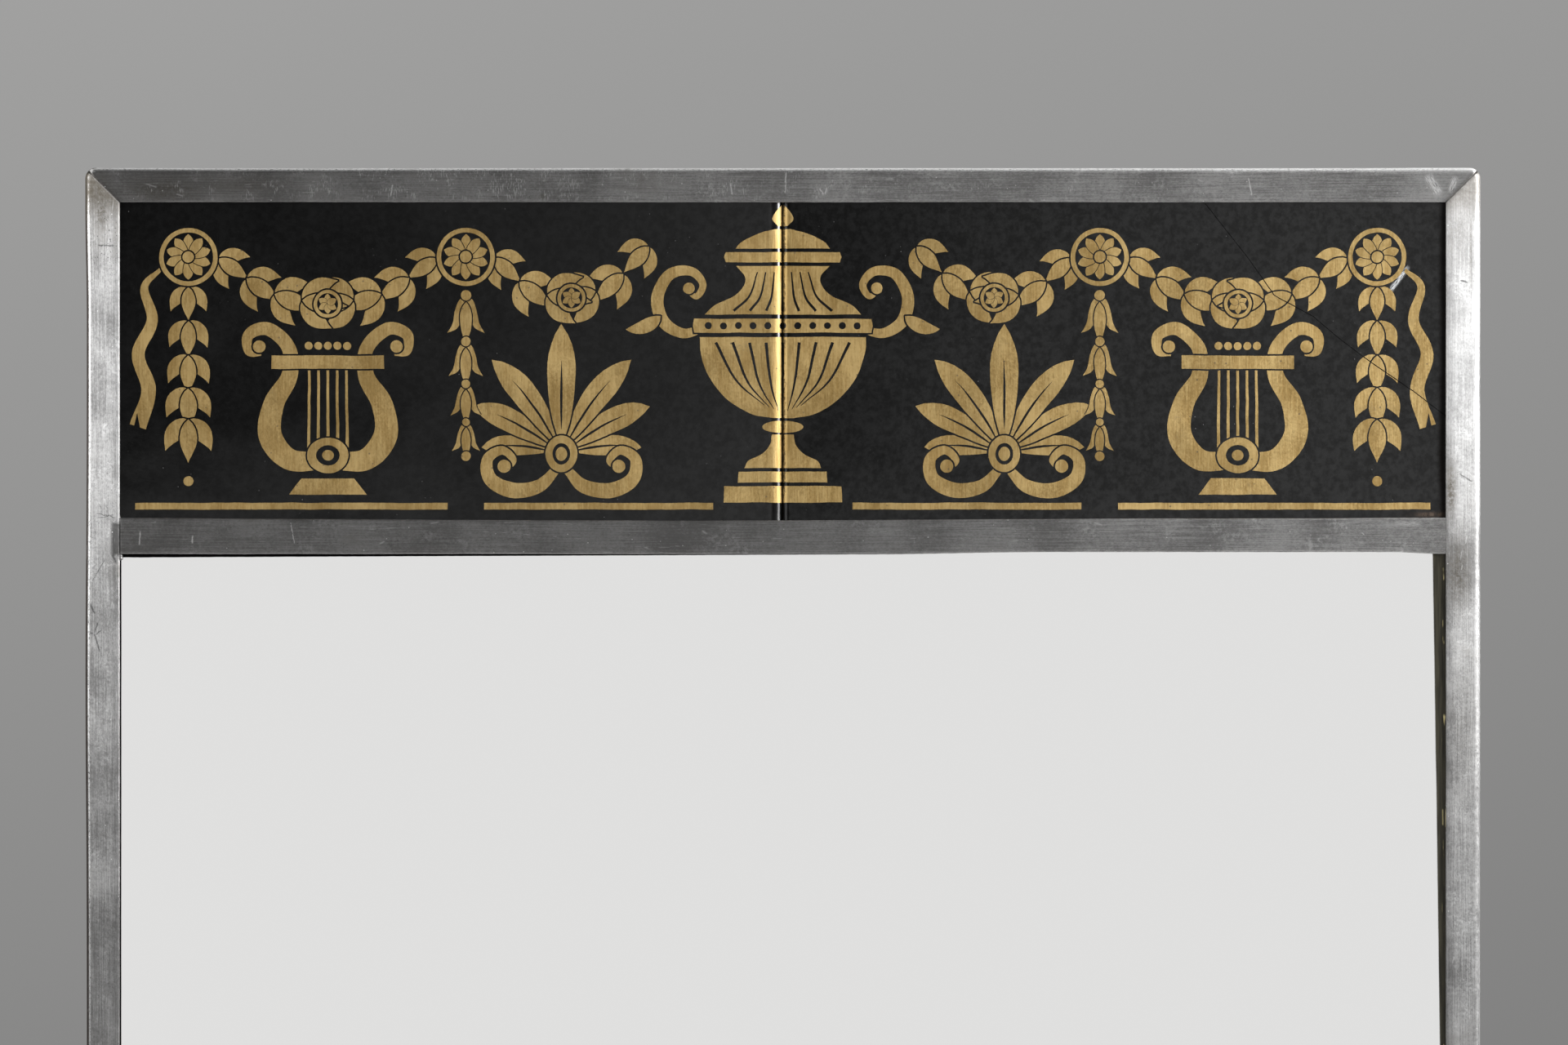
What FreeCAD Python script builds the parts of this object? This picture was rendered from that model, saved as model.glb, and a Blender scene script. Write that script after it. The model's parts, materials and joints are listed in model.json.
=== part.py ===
import FreeCAD, Part
import math
import os

import Sketcher
from FreeCAD import Placement, Rotation, Vector

# A neoclassical wall mirror: a narrow soldered metal frame round two panes of black glass, with a
# plate of mirror glass under them, all backed by a halved timber frame with screwed boards.
#
# X runs to the right, Y back to the wall and Z up. The origin is on the wall plane, on the centre
# line, at the height of the two ring pivots that the mirror hangs by. Lengths are in millimetres.

SIZES = {
    # the metal frame, of one L-shaped moulding mitred at the corners
    "frame_width": 460.0,
    "frame_height": 920.0,
    "frame_depth": 20.0,
    "face_width": 11.4,
    "lip_thickness": 1.6,
    "side_wall": 1.5,
    "edge_round": 2.2,
    "lip_round": 0.4,
    "solder_leg": 1.4,
    # the T-shaped bar between the black panes and the mirror plate
    "panel_sight": 104.0,
    "transom_face": 12.0,
    "transom_setback": 0.3,
    "transom_web": 2.0,
    "transom_round": 0.6,
    # the glass, its packing slips and the sheets behind it
    "glass_thickness": 5.0,
    "glass_gap": 0.2,
    "edge_clearance": 1.0,
    "seam_gap": 0.3,
    "left_seam_round": 2.4,
    "right_seam_round": 1.6,
    "slip_length": 40.0,
    "backing_thickness": 1.0,
    # the timber frame and its boards
    "timber_width": 38.0,
    "timber_fit": 0.3,
    "corner_cut": 2.2,
    "rebate_width": 7.0,
    "board_thickness": 3.0,
    "board_clearance": 0.5,
    "dowel_diameter": 6.0,
    "fastener_clearance": 0.05,
    # countersunk slotted screws
    "screw_head": 5.4,
    "screw_shank": 2.6,
    "screw_length": 10.0,
    "screw_point": 2.0,
    "screw_slot": 0.7,
    "screw_slot_depth": 0.7,
    "screw_sink": 0.1,
    "hanger_screw_length": 7.0,
    # countersunk pins through the side walls
    "pin_head": 2.6,
    "pin_shank": 1.3,
    "pin_length": 12.0,
    "pin_point": 1.5,
    "pin_end_margin": 60.0,
    # the two ring hangers, let into the back
    "hanging_drop": 70.0,
    "strap_gauge": 1.0,
    "strap_length": 27.0,
    "strap_tip_round": 4.0,
    "strap_screw_first": 8.5,
    "strap_screw_pitch": 13.0,
    "ring_wire": 2.4,
    "ring_inside": 16.0,
    "ring_leg": 6.0,
    "ring_corner": 2.4,
    "ring_end_gap": 0.4,
    "ring_lay_gap": 0.3,
    "knuckle_clearance": 0.06,
    "knuckle_side_gap": 0.3,
    "recess_margin": 1.6,
    "recess_depth": 5.0,
    "recess_round": 3.0,
    # how far a cut runs past the face that it opens
    "cut_overrun": 1.0,
}

SIDE_PIN_COUNT = 5
END_PIN_COUNT = 3
RAIL_SCREW_COUNT = 3
STILE_SCREW_COUNT = 5

# how far each screw is turned past the one before it, in degrees
SCREW_TURN = 37.0

# how deep in the timber the pins lie, how far out the outer screws and the slips stand, and how
# much of its shank's width a fastener keeps at its tip
PIN_DEPTH_SHARE = 0.62
SCREW_SPREAD_SHARE = 0.75
SLIP_SPREAD_SHARE = 0.7
BLUNT_TIP_SHARE = 0.3

doc = FreeCAD.newDocument("WallMirror")
sheet = doc.addObject("Spreadsheet::Sheet", "Sizes")
for row, (alias, length) in enumerate(SIZES.items(), start=1):
    sheet.set(f"A{row}", alias)
    sheet.set(f"B{row}", str(length))
    sheet.setAlias(f"B{row}", alias)
doc.recompute()


class Size:
    """A length written as an expression on the sheet, so that whatever is bound to it follows the sheet."""

    def __init__(self, text):
        self.text = str(text)

    def __str__(self):
        return self.text

    def __add__(self, other):
        return Size(f"({self} + {other})")

    def __sub__(self, other):
        return Size(f"({self} - {other})")

    def __mul__(self, other):
        return Size(f"({self} * {other})")

    def __truediv__(self, other):
        return Size(f"({self} / {other})")

    def __neg__(self):
        return Size(f"(-{self})")

    @property
    def mm(self):
        """The length's value now."""
        return float(sheet.evalExpression(self.text))


NIL = Size("0")


def size(alias):
    """The named size on the sheet."""
    return Size(f"Sizes.{alias}")


def evenly(first, last, count):
    """Places spread evenly from the first to the last."""
    return [first + (last - first) * i / (count - 1) for i in range(count)]


# places that several pieces share

half_width = size("frame_width") / 2
top = size("hanging_drop")
bottom = top - size("frame_height")
frame_middle = (top + bottom) / 2
front = -size("frame_depth")
wall_plane = NIL

sight_half_width = half_width - size("face_width")
sight_top = top - size("face_width")
transom_middle = sight_top - size("panel_sight") - size("transom_face") / 2
inner_half_width = half_width - size("side_wall")
inner_top = top - size("side_wall")
inner_bottom = bottom + size("side_wall")

glass_front = front + size("lip_thickness") + size("glass_gap")
glass_back = glass_front + size("glass_thickness")
timber_front = glass_back + size("backing_thickness")
timber_thickness = -timber_front
glass_half_width = inner_half_width - size("edge_clearance")
web_clear = size("transom_web") / 2 + size("edge_clearance")
PANE_SPAN = (transom_middle + web_clear, inner_top - size("edge_clearance"))
PLATE_SPAN = (inner_bottom + size("edge_clearance"), transom_middle - web_clear)

timber_half_width = inner_half_width - size("timber_fit")
timber_top = inner_top - size("timber_fit")
timber_bottom = inner_bottom + size("timber_fit")
opening_half_width = timber_half_width - size("timber_width")
half_timber = size("timber_width") / 2
stile_middle = opening_half_width + half_timber
UPPER_OPENING = (transom_middle + half_timber, timber_top - size("timber_width"))
LOWER_OPENING = (timber_bottom + size("timber_width"), transom_middle - half_timber)

pin_depth = timber_front * PIN_DEPTH_SHARE
pin_hole = size("pin_shank") / 2 + size("fastener_clearance")
pin_sink = (size("pin_head") - size("pin_shank")) / 2 + size("screw_sink")
pin_reach = size("pin_length") - size("side_wall") - size("timber_fit") + size("screw_sink")
screw_hole = size("screw_shank") / 2 + size("fastener_clearance")
screw_countersink = (size("screw_head") - size("screw_shank")) / 2 + size("screw_sink")
screw_reach = size("screw_sink") + size("screw_length") + size("fastener_clearance")
screw_inset = (size("rebate_width") - size("board_clearance")) / 2
board_reach = size("rebate_width") - size("board_clearance")

ring_radius = size("ring_wire") / 2
bow_radius = (size("ring_inside") + size("ring_wire")) / 2
bow_reach = size("ring_leg") + bow_radius
knuckle_bore = ring_radius + size("knuckle_clearance")
knuckle_radius = knuckle_bore + size("strap_gauge")
strap_half_width = bow_radius - size("ring_corner") - size("knuckle_side_gap")
strap_thickness = size("strap_gauge") * 2
recess_half_width = bow_radius + ring_radius + size("recess_margin")
recess_up = bow_reach + ring_radius + size("recess_margin")
recess_down = size("strap_length") + size("recess_margin")
hanger_x = timber_half_width - (size("timber_width") - size("rebate_width")) / 2
pivot_depth = knuckle_radius - size("recess_depth")
strap_screws = [size("strap_screw_first"), size("strap_screw_first") + size("strap_screw_pitch")]


# sketches and features

def new_body(label, base=(NIL, NIL, NIL), turn=None):
    """An empty body standing at the base, turned as the rotation says."""
    body = doc.addObject("PartDesign::Body", label)
    body.Label = label
    if turn is not None:
        body.Placement = Placement(Vector(), turn)
    for axis, place in zip("xyz", base):
        body.setExpression(f"Placement.Base.{axis}", str(place))
    return body


def add_sketch(body, role, lift=NIL):
    """A sketch on one of the body's own origin planes, lifted off it along the plane's normal."""
    sketch = body.newObject("Sketcher::SketchObject", f"{body.Name}_sketch")
    plane = next(f for f in body.Origin.OriginFeatures if f.Role == role)
    sketch.AttachmentSupport = [(plane, "")]
    sketch.MapMode = "FlatFace"
    sketch.setExpression("AttachmentOffset.Base.z", str(lift))
    return sketch


def bind(sketch, kind, where, length):
    """A sketch constraint whose value is a size."""
    index = sketch.addConstraint(Sketcher.Constraint(kind, *where, length.mm))
    sketch.setExpression(f"Constraints[{index}]", str(length))


def hold(sketch, geometry, end, place):
    """Holds one point of a sketch at its two sizes from the sketch's origin."""
    bind(sketch, "DistanceX", (-1, 1, geometry, end), place[0])
    bind(sketch, "DistanceY", (-1, 1, geometry, end), place[1])


def draw_outline(sketch, corners):
    """A closed outline of straight lines through the corners."""
    points = [Vector(x.mm, y.mm, 0) for x, y in corners]
    first = sketch.GeometryCount
    for start, end in zip(points, points[1:] + points[:1]):
        sketch.addGeometry(Part.LineSegment(start, end))
    for i, corner in enumerate(corners):
        before = first + (i - 1) % len(corners)
        sketch.addConstraint(Sketcher.Constraint("Coincident", before, 2, first + i, 1))
        hold(sketch, first + i, 1, corner)


def draw_rectangle(sketch, low, high):
    """A rectangle between two opposite corners."""
    (x0, y0), (x1, y1) = low, high
    draw_outline(sketch, [(x0, y0), (x1, y0), (x1, y1), (x0, y1)])


def draw_circle(sketch, centre, radius):
    """A circle of a given radius."""
    middle = Vector(centre[0].mm, centre[1].mm, 0)
    index = sketch.addGeometry(Part.Circle(middle, Vector(0, 0, 1), radius.mm))
    hold(sketch, index, 3, centre)
    bind(sketch, "Radius", (index,), radius)


def quarter_turn(start, end, radius):
    """An arc that turns left by a right angle from its start to its end."""
    chord = end - start
    across = Vector(-chord.y, chord.x, 0) / 2
    centre = (start + end) / 2 + across
    return Part.Arc(start, centre - across.normalize() * radius, end)


def draw_run(sketch, places, bends):
    """An open run through the places. Each bend is a quarter turn's radius, or None for a straight stretch."""
    points = [Vector(x.mm, y.mm, 0) for x, y in places]
    for i, radius in enumerate(bends):
        if radius is None:
            sketch.addGeometry(Part.LineSegment(points[i], points[i + 1]))
        else:
            sketch.addGeometry(quarter_turn(points[i], points[i + 1], radius.mm))
            bind(sketch, "Radius", (i,), radius)
        hold(sketch, i, 1, places[i])
        if i:
            sketch.addConstraint(Sketcher.Constraint("Coincident", i - 1, 2, i, 1))
    hold(sketch, len(bends) - 1, 2, places[-1])


def pad(body, sketch, length, both_ways=False):
    """Material along the sketch's normal, or half to each side of it."""
    feature = body.newObject("PartDesign::Pad", f"{body.Name}_pad")
    feature.Profile = sketch
    feature.setExpression("Length", str(length))
    if both_ways:
        feature.SideType = "Symmetric"
    doc.recompute()


def cut(body, sketch, depth=None, along_normal=True):
    """A pocket as deep as given to one side of the sketch, or right through both ways with no depth."""
    before = body.Shape.Volume
    feature = body.newObject("PartDesign::Pocket", f"{body.Name}_pocket")
    feature.Profile = sketch
    if depth is None:
        feature.Type = "ThroughAll"
        feature.SideType = "Symmetric"
    else:
        feature.setExpression("Length", str(depth))
        feature.Reversed = along_normal
    doc.recompute()
    if not body.Shape.Volume < before:
        raise RuntimeError(f"{feature.Name} cuts nothing")


def dress(body, kind, length, wanted):
    """A Fillet or a Chamfer on the edges of the body for which wanted(edge) is true."""
    base = body.Tip
    names = [f"Edge{i}" for i, e in enumerate(base.Shape.Edges, start=1) if wanted(e)]
    if not names:
        raise RuntimeError(f"{body.Name} has no such edge")
    feature = body.newObject(f"PartDesign::{kind}", f"{body.Name}_{kind.lower()}")
    feature.Base = (base, names)
    feature.setExpression("Radius" if kind == "Fillet" else "Size", str(length))
    doc.recompute()


def near(a, b):
    """Whether two numbers are the same but for rounding."""
    return math.isclose(a, b, abs_tol=1e-6)


def all_at(edge, **places):
    """Whether both ends of the edge have the given x, y or z."""
    return all(near(getattr(v.Point, k), p.mm) for v in edge.Vertexes for k, p in places.items())


def at_corner(edge, low, high):
    """Whether the edge runs front to back along one corner of a rectangle in X and Z."""
    return any(all_at(edge, x=x, z=z) for x in (low[0], high[0]) for z in (low[1], high[1]))


def is_rim(edge, **place):
    """Whether the edge is a whole circle round a centre that has the given x or y."""
    if not isinstance(edge.Curve, Part.Circle) or len(edge.Vertexes) > 1:
        return False
    return all(near(getattr(edge.Curve.Center, k), p.mm) for k, p in place.items())


def gather(label, shapes):
    """One node that holds several separate solids."""
    node = doc.addObject("Part::Feature", label)
    node.Label = label
    node.Shape = Part.makeCompound(shapes)


# fasteners, each made once with its head on the XY plane and its tip straight below

def fastener(name, head, shank, length, point, slot=None):
    """A countersunk screw or pin."""
    body = new_body(name)
    head_radius, shank_radius = head / 2, shank / 2
    half_section = add_sketch(body, "XZ_Plane")
    profile = [
        (NIL, NIL),
        (head_radius, NIL),
        (shank_radius, shank_radius - head_radius),
        (shank_radius, point - length),
        (shank_radius * BLUNT_TIP_SHARE, -length),
        (NIL, -length),
    ]
    draw_outline(half_section, profile)
    turned = body.newObject("PartDesign::Revolution", f"{name}_turned")
    turned.Profile = half_section
    turned.ReferenceAxis = (half_section, ["V_Axis"])
    doc.recompute()
    if slot is not None:
        half_slot = slot / 2
        sketch = add_sketch(body, "XY_Plane")
        draw_rectangle(sketch, (-head, -half_slot), (head, half_slot))
        cut(body, sketch, size("screw_slot_depth"), along_normal=False)
    return body


def driven(pattern, place, direction, turn=0):
    """A copy of a fastener driven in at the place. The turn about its own axis is in degrees."""
    aim = Rotation(Vector(0, 0, -1), direction)
    shape = pattern.Shape.copy()
    shape.Placement = Placement(place, aim * Rotation(Vector(0, 0, 1), turn))
    return shape


BOARD_SCREW = fastener(
    "board_screw_pattern",
    size("screw_head"),
    size("screw_shank"),
    size("screw_length"),
    size("screw_point"),
    size("screw_slot"),
)
HANGER_SCREW = fastener(
    "hanger_screw_pattern",
    size("screw_head"),
    size("screw_shank"),
    size("hanger_screw_length"),
    size("screw_point"),
    size("screw_slot"),
)
PIN = fastener("pin_pattern", size("pin_head"), size("pin_shank"), size("pin_length"), size("pin_point"))


# the metal frame

def pin_places(half_length, count):
    """Places of the pins along a member of the metal frame, from its middle."""
    reach = half_length - size("pin_end_margin")
    return evenly(-reach, reach, count)


def moulding(label, length, pins, turn, base):
    """A mitred length of moulding. Its own X runs inwards from its outer side, and its own Z along it."""
    body = new_body(label, base, Rotation(Vector(0, 1, 0), turn))
    face, lip, wall = size("face_width"), size("lip_thickness"), size("side_wall")
    depth, over = size("frame_depth"), size("cut_overrun")
    section = add_sketch(body, "XY_Plane")
    corners = [(NIL, NIL), (face, NIL), (face, lip), (wall, lip), (wall, depth), (NIL, depth)]
    draw_outline(section, corners)
    pad(body, section, length, both_ways=True)
    for side in (1, -1):
        end = length / 2
        mitre = add_sketch(body, "XZ_Plane")
        long_point = (-over, (end + over) * side)
        short_point = (face + over, (end - face - over) * side)
        draw_outline(mitre, [long_point, short_point, (face + over, (end + over) * side)])
        cut(body, mitre)
    holes = add_sketch(body, "YZ_Plane")
    for place in pins:
        draw_circle(holes, (depth + pin_depth, place), pin_hole)
    cut(body, holes)
    dress(body, "Chamfer", pin_sink, lambda e: is_rim(e, x=NIL))
    dress(body, "Fillet", size("edge_round"), lambda e: all_at(e, x=NIL, y=NIL))
    dress(body, "Fillet", size("lip_round"), lambda e: all_at(e, x=face, y=NIL))


SIDE_PINS = pin_places(size("frame_height") / 2, SIDE_PIN_COUNT)
END_PINS = pin_places(half_width, END_PIN_COUNT)
moulding("left_stile_moulding", size("frame_height"), SIDE_PINS, 0, (-half_width, front, frame_middle))
moulding("right_stile_moulding", size("frame_height"), SIDE_PINS, 180, (half_width, front, frame_middle))
moulding("top_rail_moulding", size("frame_width"), END_PINS, 90, (NIL, front, top))
moulding("bottom_rail_moulding", size("frame_width"), END_PINS, -90, (NIL, front, bottom))


def transom_bar():
    """The bar between the panes and the plate: a flange in front, and a web that runs on to the side walls."""
    body = new_body("transom_bar", (NIL, front + size("transom_setback"), transom_middle))
    flange_thickness = size("lip_thickness") - size("transom_setback")
    half_face, half_web = size("transom_face") / 2, size("transom_web") / 2
    flange = add_sketch(body, "YZ_Plane")
    draw_rectangle(flange, (NIL, -half_face), (flange_thickness, half_face))
    pad(body, flange, sight_half_width * 2, both_ways=True)
    web = add_sketch(body, "YZ_Plane")
    web_back = timber_front - front - size("transom_setback")
    draw_rectangle(web, (flange_thickness, -half_web), (web_back, half_web))
    pad(body, web, inner_half_width * 2, both_ways=True)
    for z in (half_face, -half_face):
        dress(body, "Fillet", size("transom_round"), lambda e: all_at(e, y=NIL, z=z))


def corner_solder():
    """The four fillets of solder inside the corners of the metal frame."""
    leg = size("solder_leg").mm
    start = front + size("lip_thickness")
    run = Vector(0, (-size("edge_round") - start).mm, 0)
    fillets = []
    for x, inwards in ((inner_half_width, -leg), (-inner_half_width, leg)):
        for z, upwards in ((inner_top, -leg), (inner_bottom, leg)):
            corner = Vector(x.mm, start.mm, z.mm)
            ends = [corner + Vector(inwards, 0, 0), corner + Vector(0, 0, upwards)]
            fillets.append(Part.Face(Part.makePolygon([corner, *ends, corner])).extrude(run))
    gather("corner_solder", fillets)


def moulding_pins():
    """The pins that hold the metal frame to the timber one."""
    sink = size("screw_sink")
    pins = []
    for side in (-1, 1):
        x = (half_width - sink) * side
        for z in SIDE_PINS:
            place = Vector(x.mm, pin_depth.mm, (frame_middle + z).mm)
            pins.append(driven(PIN, place, Vector(-side, 0, 0)))
    for z, direction in ((top - sink, -1), (bottom + sink, 1)):
        for x in END_PINS:
            place = Vector(x.mm, pin_depth.mm, z.mm)
            pins.append(driven(PIN, place, Vector(0, 0, direction)))
    gather("moulding_pins", pins)


transom_bar()
corner_solder()
moulding_pins()


# the glass and what packs it

def slab(label, back, thickness, low, high):
    """A flat piece between two corners in X and Z, with its back face at the given depth."""
    body = new_body(label, (NIL, back, NIL))
    outline = add_sketch(body, "XZ_Plane")
    draw_rectangle(outline, low, high)
    pad(body, outline, thickness)
    return body


def pane(label, inner, outer, seam_round):
    """A pane of black glass whose front edge is ground round where it meets its fellow."""
    low_x, high_x = sorted((inner, outer), key=lambda x: x.mm)
    low, high = (low_x, PANE_SPAN[0]), (high_x, PANE_SPAN[1])
    body = slab(label, glass_back, size("glass_thickness"), low, high)
    seam_edge = {"x": inner, "y": -size("glass_thickness")}
    dress(body, "Fillet", seam_round, lambda e: all_at(e, **seam_edge))


def setting_slips(label, span):
    """Slips as thick as the clearance at the glass's edge: two under it and two at each side."""
    low, high = span
    long, deep, thin = size("slip_length"), size("glass_thickness"), size("edge_clearance")
    lying = Part.makeBox(long.mm, deep.mm, thin.mm, Vector(-(long / 2).mm, glass_front.mm, -thin.mm))
    upright = Part.makeBox(thin.mm, deep.mm, long.mm, Vector(0, glass_front.mm, -(long / 2).mm))
    reach = glass_half_width * SLIP_SPREAD_SHARE
    slips = [lying.translated(Vector(x.mm, 0, low.mm)) for x in (-reach, reach)]
    for z in evenly(low + (high - low) / 4, high - (high - low) / 4, 2):
        for x in (glass_half_width, -inner_half_width):
            slips.append(upright.translated(Vector(x.mm, 0, z.mm)))
    gather(label, slips)


half_seam = size("seam_gap") / 2
pane("left_black_pane", -half_seam, -glass_half_width, size("left_seam_round"))
pane("right_black_pane", half_seam, glass_half_width, size("right_seam_round"))
for name, (z_low, z_high) in {"pane": PANE_SPAN, "mirror": PLATE_SPAN}.items():
    corners_of_sheet = ((-glass_half_width, z_low), (glass_half_width, z_high))
    slab(f"{name}_backing_sheet", timber_front, size("backing_thickness"), *corners_of_sheet)
    setting_slips(f"{name}_setting_slips", (z_low, z_high))
slab(
    "mirror_plate",
    glass_back,
    size("glass_thickness"),
    (-glass_half_width, PLATE_SPAN[0]),
    (glass_half_width, PLATE_SPAN[1]),
)


# the timber frame and its boards

def board_screw_places(opening, stile_count):
    """Places of the screws round the board that closes an opening."""
    low, high = opening
    side = opening_half_width + screw_inset
    spread = side * SCREW_SPREAD_SHARE
    levels = (low - screw_inset, high + screw_inset)
    places = [(x, z) for z in levels for x in evenly(-spread, spread, RAIL_SCREW_COUNT)]
    if stile_count:
        margin = (high - low) / (stile_count * 2)
        heights = evenly(low + margin, high - margin, stile_count)
        places += [(x, z) for x in (-side, side) for z in heights]
    return places


UPPER_SCREWS = board_screw_places(UPPER_OPENING, 0)
LOWER_SCREWS = board_screw_places(LOWER_OPENING, STILE_SCREW_COUNT)
LAP_LEVELS = (timber_top - half_timber, transom_middle, timber_bottom + half_timber)
DOWELS = [(x, z) for x in (-stile_middle, stile_middle) for z in LAP_LEVELS]


def holes_from_back(body, places, radius, low, high, depth=None):
    """Drills those of the places that lie on the bar."""
    sketch = add_sketch(body, "XZ_Plane")
    for x, z in places:
        if low[0].mm < x.mm < high[0].mm and low[1].mm < z.mm < high[1].mm:
            draw_circle(sketch, (x, z), radius)
    cut(body, sketch, depth)


def timber(label, low, high, laps, lap_lift, lap_depth, openings):
    """A planed bar with its back on the wall plane, halved at its laps and rebated round the openings."""
    body = slab(label, wall_plane, timber_thickness, low, high)
    halving = add_sketch(body, "XZ_Plane", lap_lift)
    for lap_low, lap_high in laps:
        draw_rectangle(halving, lap_low, lap_high)
    cut(body, halving, lap_depth)
    reach = opening_half_width + size("rebate_width")
    for z_low, z_high in openings:
        rebate = add_sketch(body, "XZ_Plane")
        outline = ((-reach, z_low - size("rebate_width")), (reach, z_high + size("rebate_width")))
        draw_rectangle(rebate, *outline)
        cut(body, rebate, size("board_thickness"))
    holes_from_back(body, UPPER_SCREWS + LOWER_SCREWS, screw_hole, low, high, screw_reach)
    dowel_hole = size("dowel_diameter") / 2 + size("fastener_clearance")
    holes_from_back(body, DOWELS, dowel_hole, low, high)
    return body


def frame_corners(body):
    """Bevels a bar where it lies in the frame's corners, to clear the solder."""
    low, high = (-timber_half_width, timber_bottom), (timber_half_width, timber_top)
    dress(body, "Chamfer", size("corner_cut"), lambda e: at_corner(e, low, high))


def pin_holes(body, role, lift, centres, along_normal):
    """Blind holes for the pins, from the bar's outer side inwards."""
    sketch = add_sketch(body, role, lift)
    for centre in centres:
        draw_circle(sketch, centre, pin_hole)
    cut(body, sketch, pin_reach, along_normal)


def hanger_recess(body, x):
    """The round-cornered recess that a ring hanger lies in, with holes for its screws."""
    low, high = (x - recess_half_width, -recess_down), (x + recess_half_width, recess_up)
    recess = add_sketch(body, "XZ_Plane")
    draw_rectangle(recess, low, high)
    cut(body, recess, size("recess_depth"))
    dress(body, "Fillet", size("recess_round"), lambda e: at_corner(e, low, high))
    holes = add_sketch(body, "XZ_Plane")
    for drop in strap_screws:
        draw_circle(holes, (x, -drop), screw_hole)
    floor_to_tip = size("hanger_screw_length") + size("screw_sink") - strap_thickness
    cut(body, holes, size("recess_depth") + floor_to_tip + size("fastener_clearance"))


def timber_stile(label, side):
    """A side bar of the timber frame, halved from the front where the rails cross it."""
    x_low, x_high = sorted((opening_half_width * side, timber_half_width * side), key=lambda x: x.mm)
    over = size("cut_overrun")
    levels = [
        (timber_bottom - over, LOWER_OPENING[0]),
        (LOWER_OPENING[1], UPPER_OPENING[0]),
        (UPPER_OPENING[1], timber_top + over),
    ]
    laps = [((x_low - over, z_low), (x_high + over, z_high)) for z_low, z_high in levels]
    openings = [UPPER_OPENING, LOWER_OPENING]
    half = timber_thickness / 2
    low, high = (x_low, timber_bottom), (x_high, timber_top)
    body = timber(label, low, high, laps, half, half + over, openings)
    frame_corners(body)
    hanger_recess(body, hanger_x * side)
    centres = [(pin_depth, frame_middle + z) for z in SIDE_PINS]
    pin_holes(body, "YZ_Plane", timber_half_width * side, centres, along_normal=side < 0)


def timber_rail(label, z_low, z_high, openings):
    """A cross bar of the timber frame, halved from the back at both ends."""
    over = size("cut_overrun")
    laps = [
        ((-timber_half_width - over, z_low - over), (-opening_half_width, z_high + over)),
        ((opening_half_width, z_low - over), (timber_half_width + over, z_high + over)),
    ]
    low, high = (-timber_half_width, z_low), (timber_half_width, z_high)
    return timber(label, low, high, laps, NIL, timber_thickness / 2, openings)


timber_stile("left_timber_stile", -1)
timber_stile("right_timber_stile", 1)
timber_rail(
    "middle_timber_rail",
    transom_middle - half_timber,
    transom_middle + half_timber,
    [UPPER_OPENING, LOWER_OPENING],
)
top_bar = timber_rail("top_timber_rail", UPPER_OPENING[1], timber_top, [UPPER_OPENING])
bottom_bar = timber_rail("bottom_timber_rail", timber_bottom, LOWER_OPENING[0], [LOWER_OPENING])
rail_pins = [(x, pin_depth) for x in END_PINS]
for bar, end_level in ((top_bar, timber_top), (bottom_bar, timber_bottom)):
    frame_corners(bar)
    pin_holes(bar, "XY_Plane", end_level, rail_pins, along_normal=bar is bottom_bar)


def lap_dowels():
    """The dowels through the six halved joints, flush on both sides."""
    dowel = Part.makeCylinder(
        (size("dowel_diameter") / 2).mm,
        timber_thickness.mm,
        Vector(0, timber_front.mm, 0),
        Vector(0, 1, 0),
    )
    gather("lap_dowels", [dowel.translated(Vector(x.mm, 0, z.mm)) for x, z in DOWELS])


def back_board(name, opening, screws):
    """A board let in flush over an opening, and its screws."""
    z_low, z_high = opening
    side = opening_half_width + board_reach
    low, high = (-side, z_low - board_reach), (side, z_high + board_reach)
    body = slab(f"{name}_back_board", wall_plane, size("board_thickness"), low, high)
    holes_from_back(body, screws, screw_hole, low, high)
    dress(body, "Chamfer", screw_countersink, lambda e: is_rim(e, y=NIL))
    depth = -size("screw_sink").mm
    shapes = []
    for i, (x, z) in enumerate(screws):
        place = Vector(x.mm, depth, z.mm)
        shapes.append(driven(BOARD_SCREW, place, Vector(0, -1, 0), SCREW_TURN * i))
    gather(f"{name}_board_screws", shapes)


lap_dowels()
back_board("upper", UPPER_OPENING, UPPER_SCREWS)
back_board("lower", LOWER_OPENING, LOWER_SCREWS)


# the ring hangers

def hanger_strap(name, x):
    """A strip folded double round the ring's pivot, lying on the recess's floor."""
    body = new_body(f"{name}_hanger_strap", (x, -size("recess_depth"), NIL))
    leaf = add_sketch(body, "YZ_Plane")
    draw_rectangle(leaf, (NIL, -size("strap_length")), (strap_thickness, NIL))
    pad(body, leaf, strap_half_width * 2, both_ways=True)
    low, high = (-strap_half_width, -size("strap_length")), (strap_half_width, -size("strap_length"))
    dress(body, "Fillet", size("strap_tip_round"), lambda e: at_corner(e, low, high))
    knuckle = add_sketch(body, "YZ_Plane")
    draw_circle(knuckle, (knuckle_radius, NIL), knuckle_radius)
    pad(body, knuckle, strap_half_width * 2, both_ways=True)
    bore = add_sketch(body, "YZ_Plane")
    draw_circle(bore, (knuckle_radius, NIL), knuckle_bore)
    cut(body, bore)
    holes = add_sketch(body, "XZ_Plane")
    for drop in strap_screws:
        draw_circle(holes, (NIL, -drop), screw_hole)
    cut(body, holes)
    dress(body, "Chamfer", screw_countersink, lambda e: is_rim(e, y=strap_thickness, x=NIL))


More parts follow.
